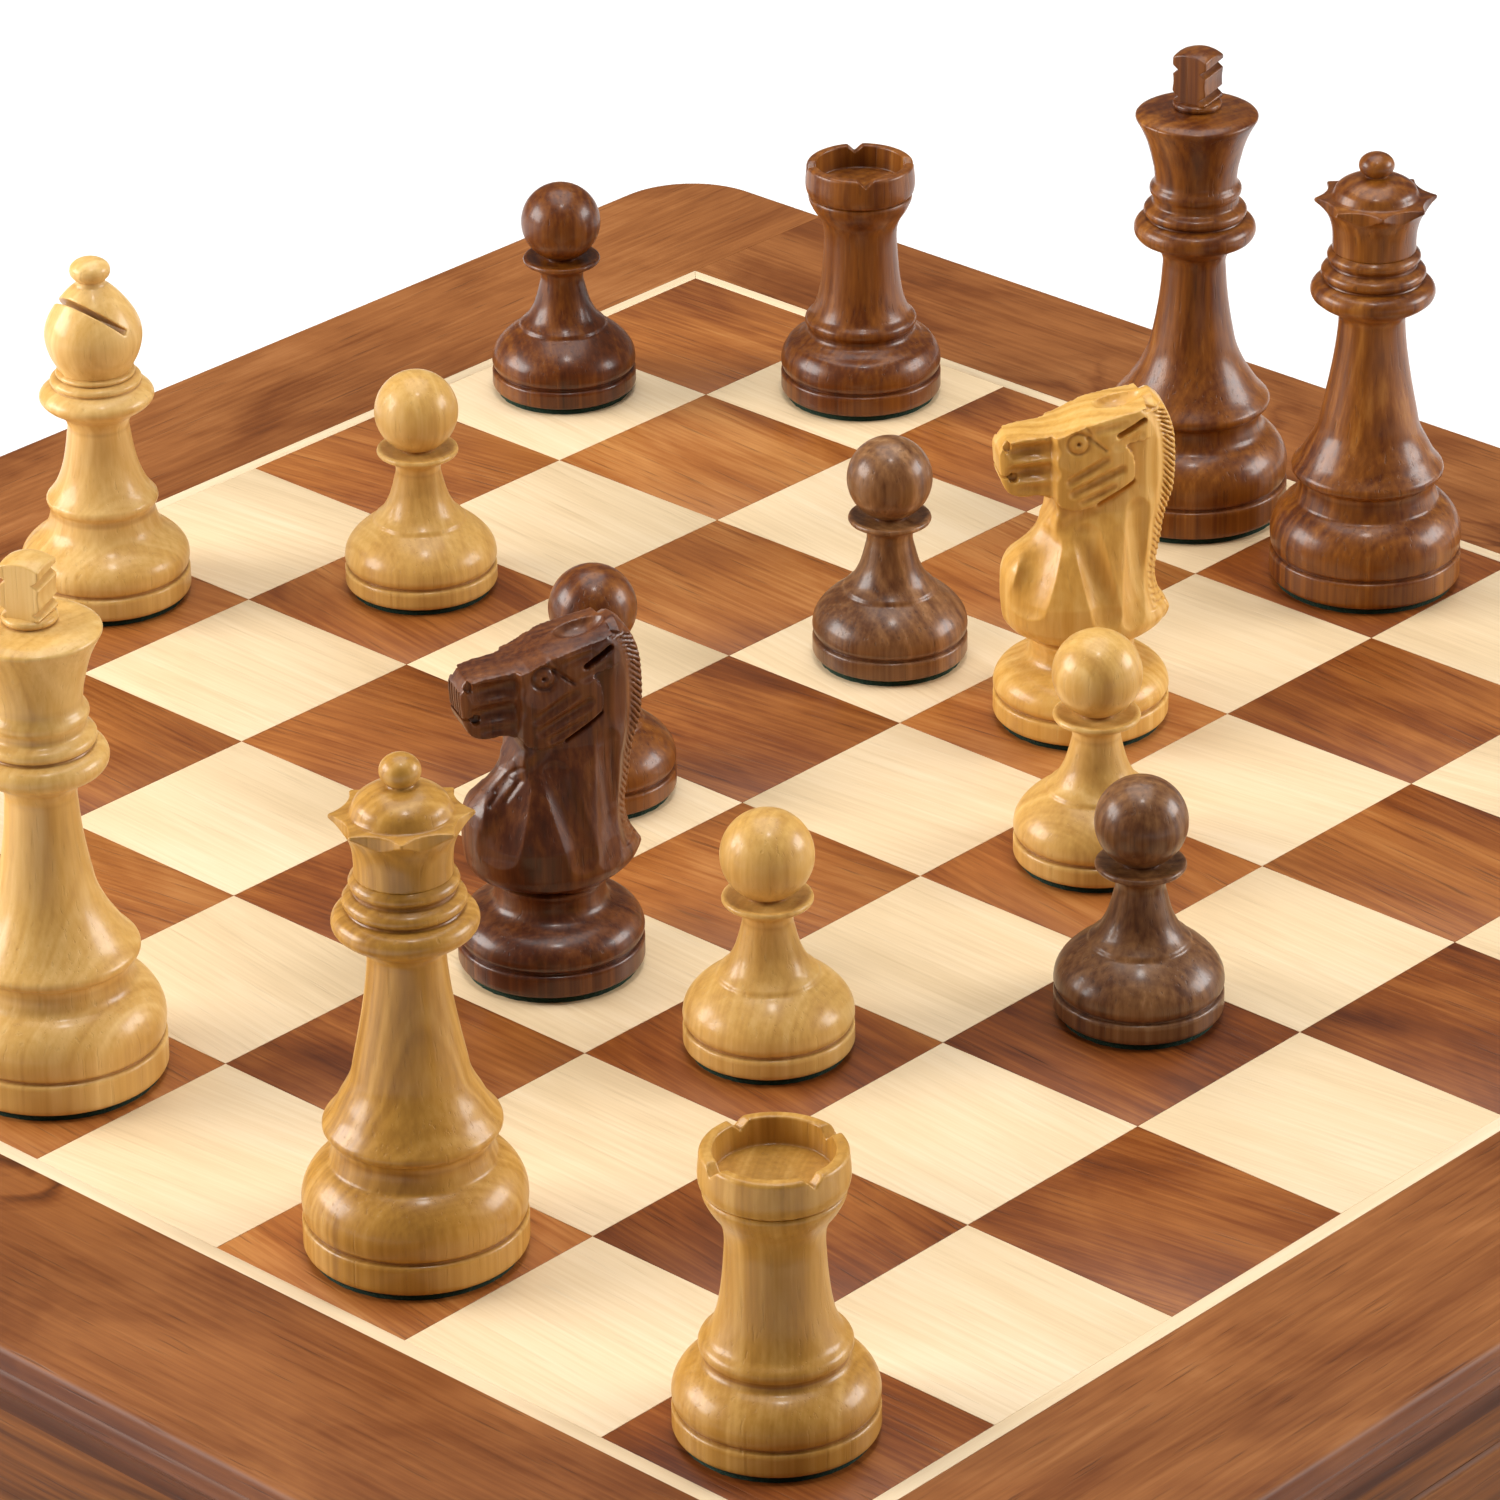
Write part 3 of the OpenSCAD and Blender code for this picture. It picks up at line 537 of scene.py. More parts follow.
def grid(x0, x1, y0, y1, z0, z1, h):
    axes = [np.arange(a, b + h, h) for a, b in ((x0, x1), (y0, y1), (z0, z1))]
    return np.meshgrid(*axes, indexing="ij")


def box_field(x, y, z, a, b, c, r=0.0):
    dx, dy, dz = np.abs(x) - a + r, np.abs(y) - b + r, np.abs(z) - c + r
    out = np.sqrt(np.maximum(dx, 0) ** 2 + np.maximum(dy, 0) ** 2 + np.maximum(dz, 0) ** 2)
    return out + np.minimum(np.maximum(dx, np.maximum(dy, dz)), 0) - r


# ---- profiles of the men, millimetres

PAD_T = 1.4


def band(r, h):
    """The upright edge at the foot of a man of radius r, on its pad, with the groove over it."""
    top = PAD_T + h
    return [(0, PAD_T), (r - 0.5, PAD_T), (r, PAD_T + 0.5), (r, top - 0.3), (r - 0.9, top + 0.2),
            (r - 0.25, top + 0.9)]


PAWN = [
    *band(15.3, 4), (15.3, 7.0), (15.25, 8.0), (15.0, 9.2), (14.4, 10.4), (13.5, 11.6), (12.4, 12.7),
    (11.2, 13.7), (10.1, 14.5), (9.3, 15.0), (9.15, 15.6), (8.6, 16.1), (7.7, 17.0), (6.8, 18.4),
    (6.0, 20.1), (5.4, 22.0), (4.9, 24.0), (4.5, 26.0), (4.7, 27.5), (5.9, 28.7), (7.5, 29.3),
    (8.15, 29.7), (8.2, 30.3), (7.8, 30.7), (5.6, 30.3), (3.6, 30.4), *arc(0, 38.5, 8.4, 8.4, -65, 90, 14)]
ROOK_BODY = [
    *band(17, 4.5), *arc(7, 8, 10, 7.6, 0, 58, 8), (11.95, 15.0), (11.85, 15.8),
    *arc(11.3, 17.2, 1.3, 1.35, -55, 60, 5), (11.2, 19.0), (10.5, 20.3), (9.8, 22.2), (9.2, 24.8),
    (8.7, 28.4), (8.3, 33.4), (8.2, 37.0), (8.5, 39.0), (9.2, 40.6), (10.3, 42.2), (11.1, 43.6),
    (11.6, 44.8), (11.7, 45.5), (11.2, 45.9), (0, 46.1)]
ROOK_TOP = [
    (11.2, 45.8), (11.9, 46.3), (12.05, 46.7), (12.05, 52.2), (11.6, 52.7), (9.9, 52.7), (9.7, 47.8),
    (0, 47.8)]
BISHOP_BODY = [
    *band(16.9, 4.7), (16.9, 8.6), (16.75, 9.8), (16.2, 11.0), (15.3, 12.1), (14.2, 13.1), (13.1, 14.0),
    (12.1, 15.0), (11.3, 16.2), (10.8, 17.6), (10.45, 19.2), (10.45, 20.3), (11.0, 20.9), (11.2, 21.5),
    (11.1, 22.1), (10.6, 22.7), (9.5, 24.2), (8.5, 26.2), (7.6, 28.8), (6.9, 32.0), (6.4, 35.4),
    (6.2, 38.0), (6.9, 39.8), (8.9, 41.2), (10.6, 42.4), (11.4, 43.4), (11.5, 44.2), (11.0, 45.0),
    (9.4, 46.2), *arc(8.2, 47.3, 1.0, 0.9, -60, 70, 4), (7.4, 48.4), *arc(7.2, 49.0, 0.8, 0.6, -50, 60, 3),
    (7.0, 49.7), (0, 49.9)]
BISHOP_TOP = [
    (7.2, 49.6), (8.0, 51.2), (8.9, 53.0), (9.5, 55.0), (9.75, 57.0), (9.5, 58.8), (8.8, 60.7),
    (7.7, 62.6), (6.3, 64.5), (4.6, 66.4), (3.1, 67.7), (2.9, 68.4), *arc(0, 70.5, 4.1, 2.6, -45, 90, 9)]
QUEEN_BODY = [
    *band(19.2, 5.6), *arc(8.8, 10.4, 10.4, 9, 0, 58, 8), (14.0, 19.0), (13.6, 20.4), (13.5, 22.0),
    (13.8, 23.0), (14.9, 23.7), (15.2, 24.2), (15.2, 25.1), (14.8, 25.6), (13.4, 27.4), (12.2, 29.7),
    (11.2, 31.5), (10.4, 33.2), (9.45, 37.4), (8.55, 41.9), (7.75, 46.4), (7.1, 50.9), (6.7, 55.0),
    (6.6, 57.0), (7.4, 58.3), (9.4, 59.6), (11.2, 60.8), *arc(10.2, 62.8, 2.2, 2.2, -60, 75, 6),
    (9.6, 65.3), *arc(9.2, 66.8, 1.25, 1.2, -60, 70, 5), (8.5, 68.6),
    *arc(8.3, 70.2, 1.0, 1.0, -60, 65, 4), (8.2, 71.6), (0, 71.9)]
QUEEN_TOP = [
    (8.3, 71.5), (8.3, 74.0), (8.5, 76.2), (9.2, 78.6), (10.4, 80.6), (12.15, 81.9), (12.15, 82.5),
    (8.8, 82.7), (8.6, 83.0), (7.9, 84.7), (6.0, 86.3), (3.6, 87.3), (2.4, 87.6), (2.1, 88.1),
    *arc(0, 90.2, 3.55, 3.0, -53, 90, 9)]
KING_BODY = [
    *band(19.8, 6), *arc(8.8, 10.8, 11, 9.2, 0, 55, 8), (14.7, 18.9), (14.2, 20.4), (14.1, 22.0),
    (14.4, 23.1), (15.5, 23.8), (15.9, 24.3), (15.9, 25.2), (15.5, 25.7), (13.9, 27.5), (12.4, 29.7),
    (11.2, 31.6), (10.3, 33.3), (9.0, 36.4), (8.1, 40.4), (7.4, 44.4), (6.8, 49.0), (6.5, 53.0),
    (6.4, 55.6), (7.0, 57.4), (9.0, 58.9), (11.0, 60.1), *arc(10.2, 62.2, 2.15, 2.3, -65, 75, 6),
    (9.6, 64.8), *arc(9.2, 66.2, 1.25, 1.2, -60, 70, 5), (8.6, 68.0),
    *arc(8.3, 70.8, 1.0, 1.3, -65, 65, 4), (8.4, 72.6), (8.4, 74.5), (9.0, 77.6), (10.2, 81.8),
    (11.7, 85.0), (12.4, 86.2), (12.3, 86.7), (11.6, 87.1), (4.6, 88.2),
    *arc(4.2, 89.0, 0.8, 0.8, -70, 90, 4), (0, 89.8)]
KNIGHT_FOOT = [
    *band(17, 4.5), (17, 7.4), (16.9, 8.5), (16.5, 9.6), (15.7, 10.7), (14.6, 11.6), (13.3, 12.3),
    (12.0, 12.9), (10.9, 13.6), (10.3, 14.6), (10.1, 15.8), (10.2, 17.2), (10.5, 18.1), (10.5, 18.6),
    (9.5, 18.9), (9.2, 19.2), (9.2, 20.2), (0, 20.2)]


def carve(f, origin, h):
    """A carved part from its field, with its grooves marked for painted shade by how far a blurred copy
    stands off.
    """
    verts, faces = nets(f, origin, h)
    verts = smooth_mesh(verts, faces, 1, 0.35)
    blurred = smooth_mesh(verts, faces, 12, 0.6)
    across = np.cross(verts[faces[:, 2]] - verts[faces[:, 0]], verts[faces[:, 3]] - verts[faces[:, 1]])
    normal = np.zeros_like(verts)
    for i in range(4):
        np.add.at(normal, faces[:, i], across)
    normal /= np.linalg.norm(normal, axis=1)[:, None] + 1e-12
    return verts, faces, unit(((blurred - verts) * normal).sum(1) / (1.1 * h))


def slim(points, k, low):
    """A profile made k times as wide above a height."""
    return [(r * k if z > low else r, z) for r, z in points]


def lowered(points, k, low):
    """A profile made k times as tall above a height."""
    return [(r, low + (z - low) * k if z > low else z) for r, z in points]


def turned_about(x, y, degrees):
    """Distances along and across a line from the axis at this angle."""
    c, s = math.cos(math.radians(degrees)), math.sin(math.radians(degrees))
    return x * c + y * s, y * c - x * s


def rook_top(k=1.0):
    h = 0.22
    x, y, z = grid(-13, 13, -13, 13, 45, 54, h)
    f = turned_field(slim(ROOK_TOP, k, 13), x, y, z)
    for i in range(4):
        along, across = turned_about(x, y, 28 + 90 * i)
        notch = (np.abs(across) + np.abs(z - 52.9)) / math.sqrt(2) - 1.35
        f = smax(f, -np.maximum(notch, np.abs(along - 10.9 * k) - 2.6), 0.12)
    return carve(f, (-13, -13, 45), h)


def bishop_top():
    h = 0.2
    x, y, z = grid(-10.5, 10.5, -10.5, 10.5, 48.8, 75, h)
    f = turned_field(BISHOP_TOP, x, y, z)
    f = np.maximum(f, 49.5 - z)
    along, across = turned_about(x, z - 59.8, 43.5)
    cut = np.maximum(np.abs(across) - 0.62, -0.6 - along)
    return carve(smax(f, -cut, 0.15), (-10.5, -10.5, 48.8), h)


def queen_top(k=1.0):
    h = 0.22
    x, y, z = grid(-13, 13, -13, 13, 70.8, 94.4, h)
    f = np.maximum(turned_field(lowered(QUEEN_TOP, k, 82.7), x, y, z), 71.2 - z)
    for i in range(8):
        along, across = turned_about(x, y, 22.5 + 45 * i)
        f = smax(f, -np.maximum(np.hypot(along - 18.4, across) - 8.4, 76 - z), 0.12)
    return carve(f, (-13, -13, 70.8), h)


def king_cross():
    h = 0.16
    x, y, z = grid(-4.2, 4.2, -4.7, 4.7, 88.6, 101.3, h)
    side = np.abs(y)
    f = box_field(x, y, z - 95.1, 3.5, 3.9, 5.5, 0.3)
    f = smax(f, np.sqrt(x * x * 0.7 + y * y + (z - 92.0) ** 2) - 8.6, 0.25)
    for z0 in (91.4, 97.0):
        cut = (np.abs(side - 4.0) * 0.9 + np.abs(z - z0 + 0.12 * x) * 1.25) / math.sqrt(2) - 0.95
        f = smax(f, -cut, 0.1)
    hollow = np.hypot(side - 9.2, z - 94.2) - 5.55
    f = smax(f, -hollow, 0.2)
    f = smax(f, (side - 3.2) * 0.6 - (z - 89.6) * 0.8, 0.2)
    return carve(f, (-4.2, -4.7, 88.6), h)


# ---- carved knight

MANE_LINE = [
    (-12.6, 68.2), (-14.5, 66.4), (-16.0, 63.6), (-17.0, 60.2), (-17.4, 55.4), (-17.3, 50.7),
    (-16.7, 46.4), (-15.5, 41.7), (-14.9, 37.4), (-14.2, 33.3), (-14.1, 29.5), (-14.8, 26.9),
    (-16.8, 23.4)]
HORSE = [
    (10.6, 19.3), (13.6, 20.2), (15.2, 22.0), (15.9, 25.2), (16.1, 28.4), (16.1, 31.0), (15.6, 33.8),
    (11.8, 38.6), (8.5, 42.3), (6.0, 46.6), (6.6, 48.6), (9.0, 49.6), (13.4, 49.6), (15.4, 50.6),
    (16.5, 52.6), (16.9, 55.6), (16.8, 59.4), (15.6, 61.1), (12.2, 61.8), (8.4, 62.1), (5.0, 63.0),
    (1.7, 64.5), (-1.6, 65.6), (-5.9, 66.6), (-9.7, 67.2), *MANE_LINE, (-15.9, 21.4), (-13.8, 20.1),
    (-10.6, 19.3)]


def line_reach(x, z, a, b):
    """Distance to a line from a to b, and how far along it each point lies, from 0 to 1."""
    ex, ez = b[0] - a[0], b[1] - a[1]
    t = np.clip(((x - a[0]) * ex + (z - a[1]) * ez) / (ex * ex + ez * ez), 0, 1)
    return np.hypot(x - a[0] - t * ex, z - a[1] - t * ez), t


def path_reach(x, z, path):
    """Distance to a bent line and the length run along it."""
    best, run, done = np.full(x.shape, 1e9), np.zeros(x.shape), 0.0
    for a, b in zip(path, path[1:]):
        d, t = line_reach(x, z, a, b)
        length = math.hypot(b[0] - a[0], b[1] - a[1])
        closer = d < best
        best = np.where(closer, d, best)
        run = np.where(closer, done + t * length, run)
        done += length
    return best, run


def table(x, pairs):
    """Values read off straight lines between the pairs."""
    pairs = sorted(pairs)
    return np.interp(x, [p[0] for p in pairs], [p[1] for p in pairs])


def scoop(x, z, a, b, width, depth):
    """A gouge stroke: a round-bottomed hollow from a to b, shallower at its ends."""
    d, t = line_reach(x, z, a, b)
    return depth * unit(1 - (d / width) ** 2) * (0.55 + 0.45 * np.sin(np.pi * t))


def vee(x, z, a, b, width, depth):
    """A stroke with a V-shaped bottom, as deep at its ends as in its middle."""
    d, _ = line_reach(x, z, a, b)
    return depth * unit(1 - d / width)


# Strokes of the knight, each from a to b with its width and depth: those that are cut less boldly
# on the dark knight, then those that are the same on both, then the dark knight's own.
BOLD_STROKES = [
    (scoop, (14.0, 58.8), (7.6, 59.1), 1.95, 1.8),      # muzzle, with a ridge between the two
    (scoop, (14.0, 54.4), (7.6, 54.7), 1.95, 1.8),
    (scoop, (3.6, 53.0), (-3.0, 56.8), 1.2, 1.1),       # cheek
    (scoop, (3.0, 50.5), (-5.9, 54.7), 1.25, 1.25),
    (scoop, (1.4, 48.6), (-4.6, 51.3), 0.9, 0.75),
    (scoop, (12.2, 28.4), (8.6, 39.8), 3.2, 2.6),       # chest and shoulder
    (scoop, (-2.6, 26.2), (0.6, 41.0), 3.0, 1.9),
    (scoop, (-8.0, 25.0), (-9.4, 46.0), 2.5, 1.3)]      # beside the mane
FINE_STROKES = [
    (scoop, (12.6, 51.2), (8.0, 51.0), 1.1, 0.4),       # chin
    (vee, (0.2, 61.7), (-3.0, 59.0), 0.7, 0.7),         # corner of the eye
    (vee, (0.6, 63.8), (-0.6, 61.9), 0.7, 0.4),         # brow
    (vee, (-1.7, 47.7), (-8.4, 51.7), 0.65, 2.4),       # under the jaw
    (vee, (-5.6, 61.8), (-10.4, 64.3), 0.7, 3.4),       # below the ear
    (scoop, (-1.6, 63.0), (-6.6, 64.0), 1.0, 0.5),
    (scoop, (-5.2, 59.8), (-9.6, 61.2), 1.2, 0.4)]
DARK_STROKES = [
    (vee, (6.4, 43.0), (10.8, 38.2), 0.45, 0.5),        # throat
    (vee, (8.2, 40.4), (12.2, 36.0), 0.45, 0.5),
    (vee, (6.6, 40.6), (9.6, 36.8), 0.45, 0.5)]


def eye(x, z):
    """How far the eye's socket, ring and drilled middle take the cheek in."""
    d = np.hypot(x - 2.2, z - 60.5)
    socket = 0.9 * unit(1.25 - d / 4.4) * (z < 64.4)
    ball = 0.6 * unit(1 - (d / 1.8) ** 2) - 1.1 * unit(1 - d / 0.68)
    return socket - ball + 0.4 * np.exp(-((d - 2.15) / 0.36) ** 2)


def throat(x, z):
    """The throat behind and below the jaw, set back."""
    jaw = [(6.8, 49.4), (5.6, 47.7), (3.6, 46.9), (1.5, 46.9), (-1.7, 47.7), (-8.4, 51.7), (-8.8, 54.3),
           (-8.5, 57.0), (-6.8, 59.8)]
    d, _ = path_reach(x, z, jaw)
    below = polygon_distance(x, z, jaw + [(-20, 62), (-20, 30), (9, 30), (9, 47)]) < 0
    return np.where(below & (z < 61), 1.1 * unit(1 - d / 5.5), 0)


def mane(x, z, bold):
    """A strip down the back, with slanting notches on its outer half."""
    d, run = path_reach(x, z, MANE_LINE)
    strip = unit((3.6 - d) / 0.8) * (z < 66.5) * (z > 25)
    phase = (run + 1.1 * d) / 1.28
    tooth = np.abs(phase - np.floor(phase) - 0.5) * 2
    notches = unit((2.8 - d) / 0.9) * 0.8 * bold * unit(1 - tooth * 1.6)
    return strip * (0.5 * (1 - 0.35 * unit(1 - d / 2.4)) + notches)


def knight_body(x, z, inside):
    """Half the thickness before any carving: a round body that runs into the flat sides of the head."""
    xs = x[:, 0]
    low, high = xs[inside.argmax(0)], xs[::-1][inside[::-1].argmax(0)]
    blur = np.exp(-np.linspace(-2, 2, 11) ** 2)
    low, high = (np.convolve(np.pad(v, 5, "edge"), blur / blur.sum(), "valid") for v in (low, high))
    middle, reach = (low + high) / 2, np.maximum((high - low) / 2, 0.5) + 0.15
    across = np.clip((x - middle) / reach, -1, 1)
    front = table(z, [(19.2, 10.4), (20.2, 11.5), (22.4, 12.0), (28, 11.9), (33, 10.5), (38, 9.0),
                      (42.5, 7.6), (46, 7.0), (51, 7.3), (60, 7.3), (64, 7.1), (66.4, 6.4), (68.3, 4.6)])
    body = front * np.sqrt(unit(1 - np.abs(across) ** np.interp(z, [20, 30], [2.0, 2.3])))
    body = np.maximum(body, np.clip(-across * 9, 1.2, 3.2))
    head = table(x, [(17, 3.6), (15.5, 4.3), (9, 4.7), (7.1, 4.9), (6.3, 6.7), (1, 7.3), (-6, 7.3),
                     (-11, 6.2), (-14, 4.4), (-18, 3.0)])
    lift = unit((z - 42) / 6.0 + np.clip((x - 2) / 8, -0.2, 0.4))
    half = body + (smin(head, front, 0.3) - body) * lift * lift * (3 - 2 * lift)
    # flat top of the head, with a crisp edge against the cheek
    roof = table(x, [(-18, 64), (-12.6, 68.2), (-9.7, 67.2), (-5.9, 66.6), (-1.6, 65.7), (1.7, 64.6),
                     (5, 63.1), (8.4, 62.2), (12.2, 61.9), (15.6, 61.2), (17, 59.0)]) - z
    return smin(half, 1.6 + roof * np.where(x < -11, 2.2, 6.5), 0.18)


def knight_part(dark):
    """A knight's head and body; the dark one is cut less boldly, with strokes of its own."""
    h = 0.25
    bold = 0.7 if dark else 1.0
    x, z = np.meshgrid(np.arange(-18.6, 18.2, h), np.arange(18.4, 69.6, h), indexing="ij")
    outline, _ = refine(HORSE + HORSE[:1], corner=38, step=1.0, round_off=0.25)
    edge = polygon_distance(x, z, outline[:-1])
    half = knight_body(x, z, edge < 0) - eye(x, z) - throat(x, z) - mane(x, z, bold)
    for tool, a, b, width, depth in BOLD_STROKES:
        half = half - tool(x, z, a, b, width, depth * bold)
    for tool, a, b, width, depth in FINE_STROKES + (DARK_STROKES if dark else []):
        half = half - tool(x, z, a, b, width, depth)
    rise = np.gradient(half, h, axis=0) ** 2 + np.gradient(half, h, axis=1) ** 2
    slope = np.sqrt(1 + np.clip(rise, 0, 9))
    rounding = np.interp(z, [20, 26, 46, 48], [0.4, 1.2, 1.2, 0.25])
    half, edge, slope, rounding, x, z = (v[:, None, :] for v in (half, edge, slope, rounding, x, z))
    y = np.arange(0, 12.4, h)[None, :, None]
    f = smax((y - half) / slope, edge + 0 * y, rounding)
    # hollow between the ears
    cup = np.sqrt(((x + 6.0) / 5.4) ** 2 + (y / 3.3) ** 2 + ((z - 68.3 + 0.1 * (x + 6)) / 3.9) ** 2) - 1
    f = smax(f, -cup * 3.0, 0.2)
    # mouth slit, corner of the mouth and nostril
    slit = np.maximum(np.abs(z - 53.7 + 0 * y) - 0.2, 14.2 - x)
    f = smax(f, -slit, 0.1)
    corner = np.sqrt((x - 14.3) ** 2 + (z - 53.4) ** 2) - 0.9
    f = smax(f, -np.maximum(corner, 2.9 - y), 0.2)
    nostril = np.sqrt(((x - 15.5) / 0.75) ** 2 + ((z - 59.8) / 1.15) ** 2) * 0.75 - 0.75
    f = smax(f, -np.maximum(nostril, 3.0 - y), 0.2)
    if dark:
        # upright cuts across the nose
        for y0 in (0.0, 1.35, 2.7):
            line = np.maximum(np.abs(y - y0) - 0.22 + 0 * x, np.abs(z - 56.2) - 2.6)
            f = smax(f, -np.maximum(line, 16.1 - x), 0.12)
    f = np.concatenate([f[:, :0:-1, :], f], 1)
    return carve(f, (-18.6, (1 - y.size) * h, 18.4), h)


# ---- case pieces

def softened(name, node, width, material, seed=0.0, segments=2):
    """A CAD node's own shape with its edges eased, as a new piece."""
    bm = bmesh.new()
    bm.from_mesh(NODES[node].data)
    bmesh.ops.remove_doubles(bm, verts=bm.verts, dist=1e-6)
    bmesh.ops.dissolve_limit(bm, angle_limit=math.radians(0.6), verts=bm.verts, edges=bm.edges)
    mesh = bpy.data.meshes.new(name)
    bm.to_mesh(mesh)
    bm.free()
    obj = new_object(name, mesh, material, seed)
    ease = obj.modifiers.new("ease", "BEVEL")
    ease.width = width * MM
    ease.segments = segments
    ease.limit_method = "ANGLE"
    ease.angle_limit = math.radians(30)
    ease.use_clamp_overlap = True
    bpy.context.view_layer.update()
    done = bpy.data.meshes.new_from_object(obj.evaluated_get(bpy.context.evaluated_depsgraph_get()))
    obj.modifiers.clear()
    obj.data = done
    done.shade_smooth()
    done.set_sharp_from_angle(angle=math.radians(35))
    return obj


STRIP = 19.4    # how far in from the edge a moulding is drawn, just short of a corner's centre


def slab_profile(z0, z1):
    """Moulded edge of the top: distance in from the outer line, and height; from the underside up."""
    bead = [(3.0, 0), (2.3, 0.2), (1.7, 0.8), (1.35, 1.6), (1.2, 2.5), (1.3, 3.4), (1.7, 4.3), (2.2, 4.75),
            (2.75, 5.0)]
    lip = [(2.75, 4.95), (2.6, 4.75), (0.25, 4.6), (0.0, 4.3), (0.0, 2.0), (0.12, 1.35), (0.4, 0.8),
           (0.85, 0.35), (1.4, 0.1), (2.1, 0)]
    lower = [(o, z0 + up) for o, up in bead]
    upper = [(o, z1 - down) for o, down in lip]
    return [(STRIP, z0), *lower, *upper, (STRIP, z1)]


def ring_profile(z0, z1):
    """The hollow moulding under the top, measured as the top's edge is."""
    hollow = [(4.3, 0), (4.2, 0.1), (4.25, 0.7), (4.5, 1.2), (4.6, 1.8), (4.55, 2.6), (4.35, 3.3),
              (4.0, 4.1), (3.55, 4.65), (3.1, 5.0)]
    return [(STRIP, z0), *((o, z0 + up) for o, up in hollow), (3.1, z1), (STRIP, z1)]


def outer_line(start, half, radius, steps, lead=()):
    """The -Y side's outer line, each corner turned from this angle: outward direction and place."""
    path, c = list(lead), half - radius
    for i in range(steps + 1):
        a = math.radians(start - (90 + start) * i / steps)
        path.append((math.cos(a), math.sin(a), c + radius * math.cos(a), -c + radius * math.sin(a)))
    return path + [(-px, py, -qx, qy) for px, py, qx, qy in path[::-1]]


def corner_strip(profile, half, radius, inner):
    """A strip along the -Y side with both rounded corners, cut square at y = -inner."""
    path = outer_line(0, half, radius, 22, [(1.0, 0.0, half, -inner)])
    verts, faces, n = [], [], len(profile)
    for nx, ny, x, y in path:
        verts += [(x - nx * o, y - ny * o, z) for o, z in profile]
    for i in range(len(path) - 1):
        for j in range(n - 1):
            a, b = i * n + j, (i + 1) * n + j
            faces.append((a, a + 1, b + 1, b))
    m = len(path)
    faces.append([i * n + n - 1 for i in range(m)])
    faces.append([i * n for i in range(m)][::-1])
    faces.append(list(range(n))[::-1] + list(range((m - 1) * n, m * n)))
    return verts, faces, groove_of(profile) * m


def tube_faces(rows, n, base=0):
    """Faces of a closed section of n points drawn through several rows, with its two ends."""
    faces = []
    for i in range(rows - 1):
        for j in range(n):
            a, b = base + i * n + j, base + i * n + (j + 1) % n
            faces.append((a, b, b + n, a + n))
    last = base + (rows - 1) * n
    return faces + [list(range(base, base + n))[::-1], list(range(last, last + n))]


def straight_strip(profile, half, inner, length):
    """A straight strip along X at the -Y side, from its moulded edge in to y = -inner."""
    section = [(-half + o, z) for o, z in profile[1:-1]]
    section = [(-inner, profile[0][1])] + section + [(-inner, profile[-1][1])]
    verts = [(s * length / 2, y, z) for s in (1, -1) for y, z in section]
    return verts, tube_faces(2, len(section)), groove_of(profile) * 2


def groove_of(profile):
    """How much painted shade each point of a moulding gets: its hollows, and the upright lip below the top
    arris, darkened for the shade that falls there.
    """
    flat = np.array([(60 - o, z) for o, z in profile])    # measured out from a line well inside
    # painted shade on the upright lip below the arris
    edge = [0.85 if o < 5 and z < profile[-1][1] - 0.6 else 0.0 for o, z in profile]
    return list(np.maximum(hollow_of(flat, 2.6) * 0.8, edge))


MITRE = -45.02      # a hair past the diagonal, so that two lengths meet in a fine line


def mitred_ring(profile, half, radius, hole):
    """Four mitred lengths of a moulding round the case, hollow inside."""
    path = outer_line(MITRE, half, radius, 11)
    ends = (0, len(path) - 1)
    points = []
    for k, (nx, ny, x, y) in enumerate(path):
        inner = math.copysign(hole, x) if k in ends else max(-hole, min(hole, x * hole / half))
        points.append((inner, -hole, profile[0][1]))
        points += [(x - nx * o, y - ny * o, z) for o, z in profile[1:-1]]
        points.append((inner, -hole, profile[-1][1]))
    verts, faces = [], []
    for turn in range(4):
        c, s = math.cos(turn * math.pi / 2), math.sin(turn * math.pi / 2)
        faces += tube_faces(len(path), len(profile), len(verts))
        verts += [(x * c - y * s, x * s + y * c, z) for x, y, z in points]
    return verts, faces, groove_of(profile) * len(path) * 4


# ---- finishes

def stops(*shades, bands=None):
    """Colour stops from dark to light, in eight-bit display values."""
    bands = bands or ((0.0, 0.5, 1.0) if len(shades) == 3 else (0.0, 0.36, 0.7, 1.0))
    return tuple((at, rgb(*shade)) for at, shade in zip(bands, shades))


MAPLE = stops((212, 184, 142), (229, 203, 163), (240, 219, 186))
INLAY = stops((218, 190, 150), (234, 210, 172), (243, 224, 194))
WALNUT = stops((82, 36, 10), (126, 66, 22), (161, 97, 42), (190, 130, 70), bands=(0.0, 0.32, 0.64, 1.0))
BORDER = stops((78, 38, 12), (116, 63, 24), (147, 90, 44), (176, 118, 68), bands=(0.0, 0.3, 0.62, 1.0))
CASE = stops((58, 28, 6), (92, 49, 14), (126, 73, 28), (162, 106, 50), bands=(0.0, 0.35, 0.65, 1.0))
PLY = stops((150, 112, 74), (198, 160, 112), (220, 188, 140))
BOX = stops((170, 118, 48), (212, 166, 90), (238, 202, 134))
# a darker copy of boxwood: painted shade for the light queen and rook
BOX_SHADED = stops((128, 80, 20), (182, 132, 54), (218, 172, 96))
AMBER = stops((170, 114, 34), (213, 161, 77), (238, 198, 122))
ROSE = stops((52, 18, 0), (92, 43, 4), (134, 77, 18), (172, 114, 48))
DUSK = stops((42, 20, 8), (90, 52, 24), (134, 92, 54), (176, 134, 92))
DEEP = stops((38, 13, 3), (78, 35, 9), (120, 68, 28), (166, 116, 72))

